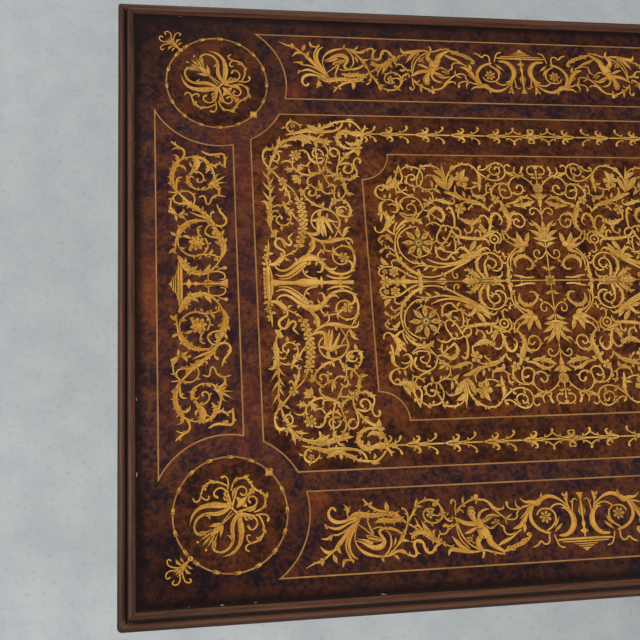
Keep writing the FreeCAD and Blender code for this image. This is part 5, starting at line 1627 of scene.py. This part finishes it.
# %% [markdown]
# The husks of a row were sawn from one pattern, as a maker saws several sheets at a
# time. So one function draws a husk, and a loop sets the row.


# %% Frame panel: row of bell husks
def husk(x, y):
    # A bell husk that points to the middle, with curled lips and two tendrils.
    swell(
        (x + 9, y, 1.6), (x + 5, y, 5), (x, y, 7.4), (x - 4, y, 6.4), (x - 7, y, 3),
        (x - 14, y, 2.2), (x - 30, y, 1.8),
    )
    engrave(0.7, (x + 6, y), (x - 4, y))
    for side in (-1, 1):
        swell(
            (x - 1, y + 2 * side, 3), (x - 5, y + 4.5 * side, 3),
            (x - 5.5, y + 7.5 * side, 2.2), (x - 3, y + 8.2 * side, 1.4),
        )
        swell(
            (x - 5, y + 0.6 * side, 1.6), (x - 14, y + 2 * side, 1.6),
            (x - 20, y + 4.5 * side, 1.8), (x - 23, y + 8 * side, 2.6),
            (x - 22.5, y + 9.3 * side, 3.4),
        )
        leaf(2.6, (x + 2, y + 2.6 * side), (x - 0.5, y + 5 * side), (x + 2, y + 6.6 * side))
        leaf(2.2, (x - 12, y + 1 * side), (x - 15, y + 3.6 * side), (x - 13.5, y + 5.6 * side))


for x in (164.5, 124, 83.5, 43, 2.5):
    husk(x, HUSK_LINE)

lay("marquetry_frame_panel", boxwood_pale, fine=0.93)

# %% [markdown]
# ## Centre panel
# The middle is the densest bay: scrolls within scrolls round a daisy, all growing from a
# stand that lies along the table.

# %% Centre panel: lamp stand along the middle line
flower(179, 0, 7, 7)
swell((176, 0, 2.5), (170, 0, 6.1), (161, 0, 7), (152, 0, 4), (145, 0, 3.3))
leaf(3.4, (165, 2), (160, 4.5), (157.5, 9))
leaf(3, (171, 2), (167, 3.5), (166, 5.5))
vine(4.8, (143, -2), (142.5, 5), (143.5, 13))
swell(
    (142, 0, 4.4), (130, 0, 3.2), (123, 0, 4.6), (118.5, 0, 8.4), (113.5, 0, 3), (104, 0, 2.4),
    (95, 0, 1.8),
)
engrave(0.6, (141, 0.7), (120, 1), (98, 0.4))
swell(
    (140, 5.5, 1.6), (131, 4.7, 1.8), (123, 5.6, 1.8), (116, 8, 2.5), (107, 12.5, 2.5),
    (98, 17.5, 3.1), (90, 22, 3.7), (83, 27, 4.6),
)
leaf(2.6, (117, 8), (114.5, 4))
leaf(2.6, (117.5, 7), (119, 10.5))
swell((106.5, 11.5, 1), (107, 6.5, 1.6), (104.5, 3.4, 1.8), (101.8, 5, 1.8), (102.8, 7.8, 1.8))
swell(
    (149, 15.5, 0.8), (140, 17.5, 1.6), (131, 16.8, 2), (121, 15.5, 2.1), (110, 17, 2.5),
    (98, 20.5, 3.1), (87, 26, 4.6),
)
swell(
    (134, 25, 0.8), (126, 21.3, 2.1), (116, 19.3, 2.3), (106, 19.8, 2.5), (97, 22.5, 2.3),
    (88, 27.5, 2.5),
)
leaf(3, (131, 16.5), (135.5, 14), (139, 11))
leaf(3, (121, 15.5), (126, 13), (130, 10.5))
leaf(3.2, (133, 18), (138, 20), (139.5, 24))
leaf(3.4, (140, 18), (144, 20.5), (146.5, 24.5))
print(len(strokes), "strokes")

# %% [markdown]
# The daisy in the scroll is one petal turned about its middle in equal steps, and its
# eye is a piece stained green, as cutters did for leaves and flowers.

# %% Centre panel: scroll from the band to the side
stem(
    (146, 3.5, 1.6), (155, 7.5, 2.1), (163, 13, 2.3), (169, 15.7, 2.5), (176, 16.6, 1.8),
    (183, 14.5, 1.8), (186, 10, 1.8), (184, 6.5, 1.8), (180, 6, 1.3),
)
flower(179.5, 11, 3.4, 5)
flower(170, 10.5, 6, 6, 30)
leaf(5.6, (174.5, 18.5), (180, 21.5), (182.5, 28))
leaf(3, (179, 18), (182.5, 17), (185, 19))
stem((171, 18, 1.5), (171.5, 22, 1.6), (168, 24, 1.6), (163, 21, 1.6))
stem(
    (143, 8, 3.1), (150, 11, 3.6), (157, 17, 3.8), (163, 24, 3.4), (166, 33, 2.8), (166, 42, 1.9),
    (164.4, 50, 1.7), (160, 57.5, 1.7), (153, 63, 1.6),
)
leaf(3.4, (163, 19), (161.5, 24), (160, 28))
stem(
    (140, 20, 1.1), (147, 20, 1.8), (154, 24, 1.8), (160, 31, 1.8), (163, 40, 1.8), (162, 49, 1.8),
    (157, 55.5, 1.8), (149, 60, 1.6), (142, 61, 1.1),
)
stem(
    (150, 31, 0.8), (145, 27.5, 1.5), (138, 27.5, 1.5), (131, 31, 1.5), (127, 37.5, 1.5),
    (126, 45, 1.5), (128.5, 52, 1.5), (134, 57.5, 1.1),
)
DAISY = (140.6, 43)
for angle in range(0, 360, 45):
    petal = [reach(*DAISY, angle, r) for r in (4.4, 10, 18.8)]
    leaf(6, *petal)
    leaf(2.2, petal[1], reach(*DAISY, angle + 14, 14))
    leaf(2.2, petal[1], reach(*DAISY, angle - 14, 14))
dot(*DAISY, 5.4, vein=STAINED)
ring(*DAISY, 2.1, 1.8)
dot(*DAISY, 0.7, vein=GRAVED)
print(len(strokes), "strokes")

# %% Centre panel: small curls down the side
stem((166.5, 28, 1.6), (171, 30.7, 1.8), (175, 30, 1.8), (176, 27.3, 2.5))
stem((167, 33, 1.6), (172, 36.7, 2), (178, 36.7, 2.1), (184, 33, 1.1))
leaf(3.6, (177.5, 36.5), (181.5, 34), (183, 30.5))
leaf(2.8, (173, 36.5), (176, 38.5), (177.5, 42))
stem(
    (168, 43, 1.6), (172, 48, 4.2), (176, 50.7, 2.1), (181, 49.5, 1.8), (183.5, 46, 1.8),
    (181.5, 43.3, 1.8), (179, 45, 2.3),
)
leaf(2.8, (173.5, 49.5), (174, 53.5))
print(len(strokes), "strokes")

# %% Centre panel: griffin
swell(
    (186.3, 60.5, 2.1), (185.5, 56.5, 1.8), (181, 54.4, 1.8), (177, 57, 3.1), (173, 62, 6.4),
    (170.5, 68, 7.4), (173.5, 74, 4.6), (176, 78, 1.1),
)
swell((164.5, 52, 1.5), (169, 54, 2.5), (174, 58.5, 3.1))
swell((166, 54, 1.6), (165, 60, 2.1), (162, 66, 1.6))
leaf(3.6, (170, 65), (166.5, 66), (164, 69.5))
leaf(3.6, (170, 70), (166, 71.5), (163.5, 76))
leaf(3, (173, 73), (172.5, 80.5))
swell(
    (179.3, 67.5, 2.1), (178, 74, 2.9), (178.8, 80, 4.6), (178, 86, 4), (174, 90, 1.8),
    (168, 92, 1.8), (162.5, 88.5, 1.6),
)
leaf(3.4, (178, 77), (181, 75), (182, 73.5))
swell(
    (172, 91.5, 1.6), (178.5, 93.7, 2.1), (182.5, 98.5, 3.3), (181.7, 104, 2.5),
    (177.5, 107.8, 2.1), (172, 107.5, 2),
)
swell((178.5, 104.5, 1.3), (175.8, 102.3, 1.8), (173.5, 104.3, 2.3))
leaf(3.2, (175, 93), (172.7, 95.5), (173.3, 98.5))
leaf(3.4, (168, 92), (167.2, 96), (166.5, 100.5))
swell(
    (167.5, 78.7, 1.1), (162.3, 77.5, 2.3), (159.5, 82, 3.7), (160.3, 88, 3.1), (161, 92, 1.8),
    (157.5, 95.5, 0.8),
)
swell((160.5, 84, 1.6), (165, 86.7, 2), (170.5, 85.3, 1))
print(len(strokes), "strokes")

# %% Centre panel: twin spirals below the daisy
stem(
    (154.5, 81, 2.5), (156.8, 88, 2.5), (153, 93, 1.8), (146, 95, 1.8), (139, 93.5, 1.8),
    (134, 88, 1.8), (133, 81, 1.8), (137, 76.5, 1.8), (144, 74.5, 1.8), (152, 74.5, 1.6),
    (157.5, 77, 1.6),
)
stem(
    (158.5, 76, 1.1), (153, 72, 1.6), (146, 71, 1.6), (141, 75, 1.6), (140, 81, 1.6),
    (143.5, 86.5, 1.6), (148.5, 85.5, 1.6), (149.8, 81.5, 1.6), (146.5, 80.3, 1.8),
)
stem(
    (163.5, 57, 1.6), (158, 64, 2.9), (151, 68, 2.9), (144, 69, 2.1), (138, 74, 1.8),
    (133, 80, 1.8),
)
stem((152, 66, 1.6), (146, 68.7, 2.9), (138.5, 68, 4.6), (134, 63.5, 1.1))
leaf(3, (147, 68), (144.5, 66), (144, 63))
leaf(3, (139, 91.5), (142, 90), (145, 91))
print(len(strokes), "strokes")

# %% Centre panel: lily at the corner
leaf(6, (171, 107), (166.5, 113), (163.5, 120.5))
leaf(6, (168, 105.5), (161.5, 112), (159, 120))
leaf(5, (165, 105), (158.5, 108), (156, 115))
stem((174, 108, 3.7), (169, 106.5, 5.5), (163, 109, 6.4))
leaf(2.8, (170, 105), (168.5, 101.5))
stem((160, 107.5, 1.6), (155.5, 111, 2.1), (152, 116.5, 2.1), (152.8, 123, 2.5), (155, 132, 1.1))
stem((159.5, 117, 1.6), (157.8, 123, 2.5), (154.5, 132, 1.1))
leaf(2.8, (159, 121), (160, 127))
stem((159, 109, 1.6), (156, 103.5, 1.8), (150, 98.5, 2), (144, 96, 2.3), (139.5, 93.5, 1.6))
stem((160, 105.5, 1.3), (159.5, 101.5, 1.6), (155, 100.5, 1.6), (150, 103.5, 1.8), (147, 102, 1.1))
leaf(2.4, (143.5, 96), (142.5, 99.5))
print(len(strokes), "strokes")

# %% Centre panel: spirals along the bottom
stem(
    (134, 108, 2.1), (140, 107.3, 1.8), (146, 110.5, 1.8), (147.2, 116.5, 1.8), (143.5, 120.7, 1.8),
    (138.8, 120, 1.8), (138, 116, 1.8), (141.8, 115, 3.3),
)
leaf(3.8, (145.5, 109.5), (148.3, 112), (149.5, 115))
leaf(3.2, (138, 108), (140, 104), (139.5, 99.5))
stem(
    (153, 126, 1.1), (147, 130, 2), (140, 130, 2.1), (133, 127.5, 2), (129.5, 121, 1.8),
    (130, 114, 1.8), (134, 107, 2.1),
)
leaf(4.4, (148, 129.5), (145, 131.5), (143, 131))
leaf(3, (141.5, 129.5), (140, 125))
stem(
    (136, 109, 1.6), (136.3, 116, 1.8), (133, 123, 1.8), (129.5, 130, 1.8), (124, 131.7, 2.3),
    (117, 131.3, 2.1), (111, 128.5, 1.8), (107.5, 123, 1.8),
)
leaf(3.4, (127.5, 130), (126, 126))
leaf(3, (120, 131.5), (118, 134.5))
leaf(3, (131, 128.5), (130, 133))
stem((135, 108, 1.6), (128, 104, 2.1), (122, 104, 1.8), (116, 105.5, 2), (113.5, 111, 1.8))
stem((127, 116.5, 1.1), (123.5, 120.7, 1.8), (118, 120, 2), (112, 116, 5), (105, 108, 3.1))
leaf(3.4, (120, 104.5), (119.5, 110.5), (121.5, 116))
leaf(3, (131, 105), (130, 99.5))
leaf(4, (120, 105), (115, 103), (110.5, 98))
stem((133, 80, 1.6), (127, 79, 2), (121, 78, 2))
stem(
    (113, 66.5, 2.5), (110, 73, 3.5), (112, 79, 4), (117, 82.5, 4.2), (123, 80, 3.5),
    (127, 74, 2.9), (126, 67.5, 2),
)
stem((126, 78, 1.3), (121, 73, 1.8), (116.5, 70, 1.8), (113.5, 67.5, 3.3))
stem(
    (133, 80, 1.6), (129, 85, 2), (124, 89, 4.2), (118, 91.3, 2.1), (111, 91, 4.6), (104, 88.5, 4),
    (98, 88, 2.3), (96.5, 91.5, 1.8), (99, 93.6, 1.6),
)
leaf(3.2, (127, 87), (130, 87), (131, 85.5))
leaf(3.4, (124, 90.5), (129, 91.5), (132.5, 94))
leaf(3.4, (123, 90), (123.5, 96))
stem((120, 92, 1.6), (120.5, 98, 1.8), (126, 103.5, 1.8))
print(len(strokes), "strokes")

# %% Centre panel: leaf knot
leaf(7.4, (101, 103), (110, 111), (118.5, 118.5))
leaf(5.4, (103, 104), (106, 118), (107, 135))
leaf(5.4, (105, 117), (111, 123.5), (117.5, 126.5))
leaf(6.4, (102, 104), (98.5, 113), (95.5, 122))
stem(
    (107, 101, 1.6), (98, 98.5, 4.6), (91, 94.5, 4), (82, 92, 3.1), (74, 90, 3.5), (66, 86, 3.7),
    (59, 79, 1.6),
)
print(len(strokes), "strokes")

# %% Centre panel: ring with a lily
stem(
    (104, 108, 2), (101.5, 120, 2.1), (95.5, 128, 3.3), (88, 132.5, 2.1), (80, 133.7, 2.1),
    (73, 132, 2.1), (68, 126, 2.3), (65.5, 119, 4), (66.5, 110, 4), (67, 102, 1.3),
)
leaf(4.4, (98, 125.5), (95.5, 130), (93.5, 133))
leaf(3.4, (85, 133), (82.5, 136.5))
leaf(3.4, (78, 133), (75.5, 135))
flower(86, 115, 9, 5, 20)
leaf(6.6, (87, 112), (85.5, 121), (80.5, 128.5))
leaf(4.4, (90, 114), (94, 116.5), (97, 115.5))
leaf(4.4, (88, 119), (90, 122.5), (88, 125))
stem((94, 108, 1.6), (94.5, 102.5, 1.8), (91.5, 97.5, 1.8), (87, 94, 1.8))
stem((89, 110, 1.5), (84, 106.8, 1.8), (78, 105.5, 1.8), (71, 108, 2.1))
leaf(3.2, (84.5, 93.5), (85, 98.5), (86.5, 103))
leaf(3, (78.5, 92), (79.3, 98))
leaf(3.4, (66, 113), (71, 111.5), (75.5, 113.5))
stem((76.3, 103.5, 2.1), (75, 99, 2.1), (71, 96, 4), (65.5, 95.5, 5), (62, 93, 2.5))
leaf(3.4, (65, 96), (63, 92), (63.5, 88.5))
stem((63.5, 97, 1.6), (59.5, 100, 1.8), (59.5, 105, 1.8), (57, 108.7, 2), (53.5, 108.5, 1.3))
leaf(3, (59.5, 106), (58, 111.5))
stem((82, 81, 2.3), (79.5, 84, 1.8), (75.5, 87.5, 2.1), (68, 86.5, 2.5))
print(len(strokes), "strokes")

# %% Centre panel: spirals by the middle
stem(
    (63.5, 131.5, 3.3), (65.7, 129, 2), (61.5, 127.3, 2), (56, 130, 2), (50, 134.5, 2.1),
    (44, 136, 2.1), (38, 133, 2.1), (35.5, 127, 2.1), (37, 120.5, 2.1), (42, 116.5, 2.1),
    (49, 115, 2.1), (56, 117, 2.1), (62, 121, 2.3), (69, 127, 2.1),
)
stem(
    (50, 132, 1.3), (53, 128.5, 1.6), (52, 123.5, 1.8), (47, 121.5, 1.8), (42.5, 124, 1.8),
    (42, 129, 1.8), (45.5, 131, 2), (47, 128.5, 2.5),
)
leaf(3, (45, 122), (43, 117.5))
leaf(3, (57, 117), (55, 120.5), (52, 121.5))
stem((36, 130, 1.3), (33, 134, 1.8), (29.5, 132.5, 2.3))
stem((35.5, 125, 1.1), (30, 123.3, 4.2), (25, 121, 1.8), (19, 120, 1.8))
stem(
    (3, 105, 1.3), (7, 112, 1.8), (13, 117.5, 1.8), (19, 120.3, 2), (27, 118.5, 2), (32, 113, 2),
    (33, 106, 2), (29.5, 100.5, 2), (23, 99, 2), (18, 102.5, 2), (18, 108, 2), (22, 109.7, 2),
    (24.5, 106.5, 3.1),
)
stem(
    (32, 104, 1.6), (34.5, 109.5, 1.8), (39, 111, 1.8), (44, 108, 1.8), (44.3, 101, 2), (42, 96, 2),
    (37, 94.5, 2), (31.5, 97.5, 1.8), (30.5, 102, 1.6),
)
stem((44, 102, 1.3), (41, 104.5, 1.8), (37.5, 103, 2.5))
stem((38, 112, 1.8), (46, 110.7, 1.8), (52, 106, 3.1), (54, 99, 2.3), (52, 94, 2.9), (46, 90, 3.1))
leaf(3.6, (51, 107), (54.5, 104.5), (56, 102.5))
flower(50, 92.5, 5.6, 5)
stem((38, 88, 1.6), (30, 89, 3.1), (23, 93, 4.2), (16, 95.5, 3.1), (8, 92, 1.6))
stem((31, 86, 1.6), (23, 86, 5), (14, 87.5, 5), (6, 91, 1.6))
leaf(3.4, (24, 87), (19, 84), (16, 81))
leaf(3.4, (23, 91), (19, 98))
stem((24, 131, 1.6), (25, 126, 2), (22, 122, 1.8), (16, 121, 1.6))
stem((15, 131, 3.3), (17, 126, 2.5), (15, 121, 1.6))
stem((1, 133, 1.3), (6, 132, 1.8), (10, 128, 1.8), (8, 123, 1.8), (3, 122.5, 2.3))
print(len(strokes), "strokes")

# %% Centre panel: trunk, spiral and arches above
stem(
    (45, 91, 2.5), (42.5, 84, 5), (40, 77, 6.8), (37, 70, 6.4), (38, 63, 4), (42.5, 56, 2.5),
    (46, 52, 1.6),
)
leaf(4.6, (41, 82), (45, 81.5), (48.5, 78.5))
leaf(4.6, (38, 75), (33, 76), (29.5, 80))
leaf(4, (41, 86), (37, 85.5), (34, 83))
stem(
    (37, 71, 1.6), (31, 76, 2.3), (25, 75.5, 2), (20.5, 70, 2), (21, 64, 2), (26, 60.5, 2),
    (31, 62.5, 2), (32.5, 67, 1.8), (29, 70, 2), (26.5, 67.3, 2.3),
)
stem(
    (63.5, 52, 1.6), (60, 60, 3.1), (58.5, 68, 3.5), (56.5, 73.5, 3.5), (52, 76.5, 3.1),
    (47.5, 73, 3.1), (46, 66, 1.6), (49, 63, 1.1),
)
stem((59, 79, 2), (57.5, 84, 2.1), (54, 87, 1.5))
stem((70, 67, 2.3), (70.5, 72, 2.1), (66, 74, 2.1), (62, 70.5, 2.1), (60, 64, 1.8))
stem((71, 65, 1.6), (68, 58, 4.6), (64, 51, 4))
leaf(3.4, (68, 58), (71.5, 60), (73, 62.5))
print(len(strokes), "strokes")

# %% Centre panel: bulb and leaves at the stems' end
stem((91, 27, 3.7), (85, 29, 8.3), (79, 31, 7.9), (73, 33, 3.1))
leaf(5, (88, 30), (93, 28), (100, 25.5))
stem((86, 30, 3.7), (91, 36, 3.7), (95, 37.5, 2.1), (99, 34.5, 1.8), (105, 31.5, 1.6))
leaf(6, (86, 33), (81, 40), (76, 47.5))
leaf(4, (79, 34), (74, 38), (70.5, 42.5))
stem((79, 31, 3.1), (72, 35.5, 3.1), (66, 36.5, 2.3), (62.5, 33, 1))
stem((74, 28, 2.5), (79, 22, 3.5), (79.3, 14, 3.5), (76.5, 8, 2.9), (72, 3.5, 2.5))
stem(
    (76, 27.5, 1.6), (69, 30.7, 2.1), (62, 31, 2.1), (55, 27, 2.1), (52, 21, 2.3), (53, 14, 2.1),
    (58, 11, 2.1), (62.5, 12, 2),
)
stem(
    (69.5, 5, 3.7), (71, 14, 3.1), (70, 21, 2.3), (66, 24.7, 2.1), (61, 24, 2.1), (58, 19.5, 2),
    (60, 15.5, 1.8), (64.5, 14.5, 2), (67, 17.5, 2.5),
)
stem((64, 4.5, 1.6), (58, 3.7, 2.3), (53.5, 6, 2.1), (52.5, 10.5, 1.1))
leaf(3, (66, 24), (66, 28.5))
stem((77, 3, 1.6), (81, 6, 4.4), (85.5, 9.2, 5.2), (89, 12.5, 3), (90.5, 15.5, 0.8), vein=VEINED)
leaf(2.8, (86, 11), (92, 12.4), (95.4, 11))
stem((98.6, 0, 0.8), (95, 0, 5), (90, 0, 9.4), (85, 0, 7.4), (78, 0, 2.6), vein=VEINED)
leaf(2.6, (88, 3), (91, 5.6), (94, 5.4))
stem(
    (78, 0, 4), (74, 0, 8.6), (68, 0, 7.6), (62.5, 0, 5.6), (58, 0, 3), (50, 0, 2), (40, 0, 1.6),
    (0, 0, 1.6),
)
stem((61.8, 0, 10), (59.8, 0, 10))
stem((48.6, 0, 2), (46.6, 0, 10), (44.6, 0, 2))
dot(77.4, 0, 1.8, vein=STAINED)
engrave(0.6, (76, 1.4), (70, 1.8), (63, 1.2))
stem((46.5, 5, 3.7), (45, 13, 3.1), (45.5, 20, 2.1), (42.5, 27, 2.1), (37.5, 33, 2), (32, 38, 1.8))
leaf(3, (45.5, 14), (42, 12), (40.5, 9.5))
vine(2.2, (46, 20), (49, 19.5), (52, 20.5))
stem((41, 6, 1), (34, 5, 2.5), (27, 3.3, 2.3), (18, 3.5, 1.8))
stem(
    (36, 14, 1.3), (37, 21, 3.5), (33, 26, 4.4), (27, 27.5, 4), (21, 24.5, 3.1), (17, 18, 3.3),
    (20, 13, 2.5), (25, 13, 2.1),
)
stem((42, 17, 1.3), (41.3, 24, 2), (37, 30, 2), (30, 34, 2.1))
print(len(strokes), "strokes")

# %% Centre panel: leaf head, flower ring and curls
leaf(6.4, (20, 40), (30, 43), (41, 50))
leaf(6.4, (20, 40), (31, 39), (40, 41))
leaf(6, (22, 40), (29, 47), (31, 56))
leaf(6, (21, 40), (20, 48), (17, 55))
leaf(6, (24, 40), (27, 35), (33, 31))
dot(23, 41, 3.7)
stem((44.5, 56.5, 1.6), (41, 50, 2), (34, 45, 2.1))
stem((47, 57, 1.6), (46, 49, 1.8), (42, 43.5, 1.8), (36, 41, 1.6))
ring(57, 46.7, 4.6, 2.4)
dot(57, 46.7, 1.6)
stem(
    (70, 48.5, 3.1), (63.5, 54, 2.5), (56.5, 55.7, 2.1), (50.5, 52.5, 2.1), (49.3, 46, 2),
    (52, 41.5, 1.6),
)
stem(
    (104, 56, 1.6), (98, 50.7, 2.9), (90, 48.5, 3.7), (80, 47.5, 3.9), (72, 47.5, 3.9),
    (66, 50.5, 3.5), (58, 53.5, 2.1), (51.5, 57, 1),
)
stem((72, 47.5, 3.1), (66, 46.5, 2.5), (63.5, 43.5, 2), (63.3, 39.5, 1))
stem((71.5, 49.5, 2.1), (72, 54, 2.1), (75.5, 57.3, 2.1), (77, 54.5, 2.5))
print(len(strokes), "strokes")

# %% Centre panel: curls towards the daisy
stem((88.5, 58, 2.5), (87.5, 55, 2), (83, 54.5, 2.1), (80, 59, 3.1), (80.5, 65, 4.6))
stem((94, 71, 1.3), (88, 68, 4.2), (81, 66, 6.4), (75, 67, 4.2), (70.5, 72, 1.3))
flower(91, 82, 7, 5, 40)
stem((94, 70, 1.6), (94, 76, 2.5), (92, 82, 2.5))
stem((88, 88, 1.3), (83, 89.5, 1.8), (76, 88.5, 2.1))
stem(
    (105, 50.5, 1.6), (98.5, 48.7, 1.8), (94, 52, 2), (95, 58, 2.1), (100, 60.3, 2.1),
    (103.3, 57, 1.8), (101, 54, 2),
)
vine(2, (101.5, 33), (100.5, 42), (102.5, 51))
stem((119, 37.5, 1.6), (112, 43, 2), (107, 50, 2.3), (103, 57, 2.1))
stem(
    (113.3, 48.5, 2.5), (110.8, 45, 1.8), (115, 42, 1.8), (119.7, 44, 2), (120, 50, 2),
    (117, 56, 2), (114, 61.5, 1.8),
)
stem(
    (131, 61.5, 1.1), (126, 65, 2.1), (120, 65.3, 2.1), (114, 61.7, 2.1), (107.5, 62, 2),
    (101, 60, 1.8), (99, 67, 2.5), (99.5, 76, 3.1), (103, 83, 3.1), (106.5, 80.5, 1.6),
)
leaf(3, (109, 62), (109.5, 57.5), (111, 54.5))
stem(
    (122.5, 37.5, 3.1), (121.7, 29, 2.1), (117, 24.5, 2), (111, 24.5, 2), (107.5, 28.5, 2.1),
    (104, 31.5, 2.5), (98, 32, 1.6),
)
stem((121.5, 36, 2), (116, 36.5, 4), (112, 33, 2.1), (106, 32.5, 2))
leaf(3.4, (106.5, 29), (104.5, 25.5), (101, 22.5))
leaf(3, (112, 39), (108, 40), (104.5, 45))
stem((56.5, 41, 1.6), (57.5, 35.5, 1.8), (55, 31.5, 1.8), (52, 33, 2.3))
stem((49.3, 30.5, 3.3), (48, 27.3, 1.8), (44.5, 27, 1.3))
stem((96.5, 48, 1.6), (96.3, 43.5, 2.1), (93.3, 41.3, 1.3))
print(len(strokes), "strokes")

# %% [markdown]
# The photograph stops before the table's short middle line. A plant in the same style
# fills the gap. It stands on the line itself, so it joins with its own mirror image.

# %% Centre panel: plant on the short middle line, invented beyond the photograph's edge
flower(0, 0, 7.4, 8)
dot(0, 0, 2.2, vein=STAINED)
swell((0, 8, 1.6), (0, 40, 1.6), (0, 86, 1.6))
leaf(3.4, (0, 10), (4, 14), (9, 15))
swell(
    (0, 34, 1.4), (5, 26.5, 1.8), (10.5, 24.5, 2), (14.5, 28.5, 1.8), (13, 33.5, 1.7),
    (9, 33.5, 1.7), (8.4, 30.2, 2),
)
leaf(3, (11, 25), (13.5, 21.5), (16.5, 20.6))
leaf(4, (0, 36), (5, 41.5), (12, 42.5))
leaf(4.6, (0, 44), (6.5, 47), (14.6, 48))
leaf(5, (0, 45), (8, 53), (17.4, 58))
leaf(5, (0, 46), (5.5, 60), (14, 70))
leaf(6, (0, 46), (0, 58), (0, 70))
leaf(3, (8, 62), (13, 63.5), (17, 67.5))
swell((-4, 45.6, 2.4), (0, 45, 2.8), (4, 45.6, 2.4))
swell(
    (0, 74, 1.4), (4.6, 81.5, 1.8), (10, 82.5, 1.8), (13, 78.5, 1.7), (10.6, 75, 1.7), (8, 77.5, 2),
)
swell((0, 84, 2), (0, 90, 5.4), (0, 97, 8), (0, 100, 9), vein=VEINED)
leaf(3.4, (2, 92), (6, 97), (10.5, 98.5))
flower(0, 106, 6.4, 7)
swell((0, 112, 1.6), (0, 120, 1.6), (0, 127, 2.4))
leaf(3, (0, 116), (4, 119), (7.5, 118))
dot(0, 131, 2.6)

lay("marquetry_centre_panel", boxwood_pale)
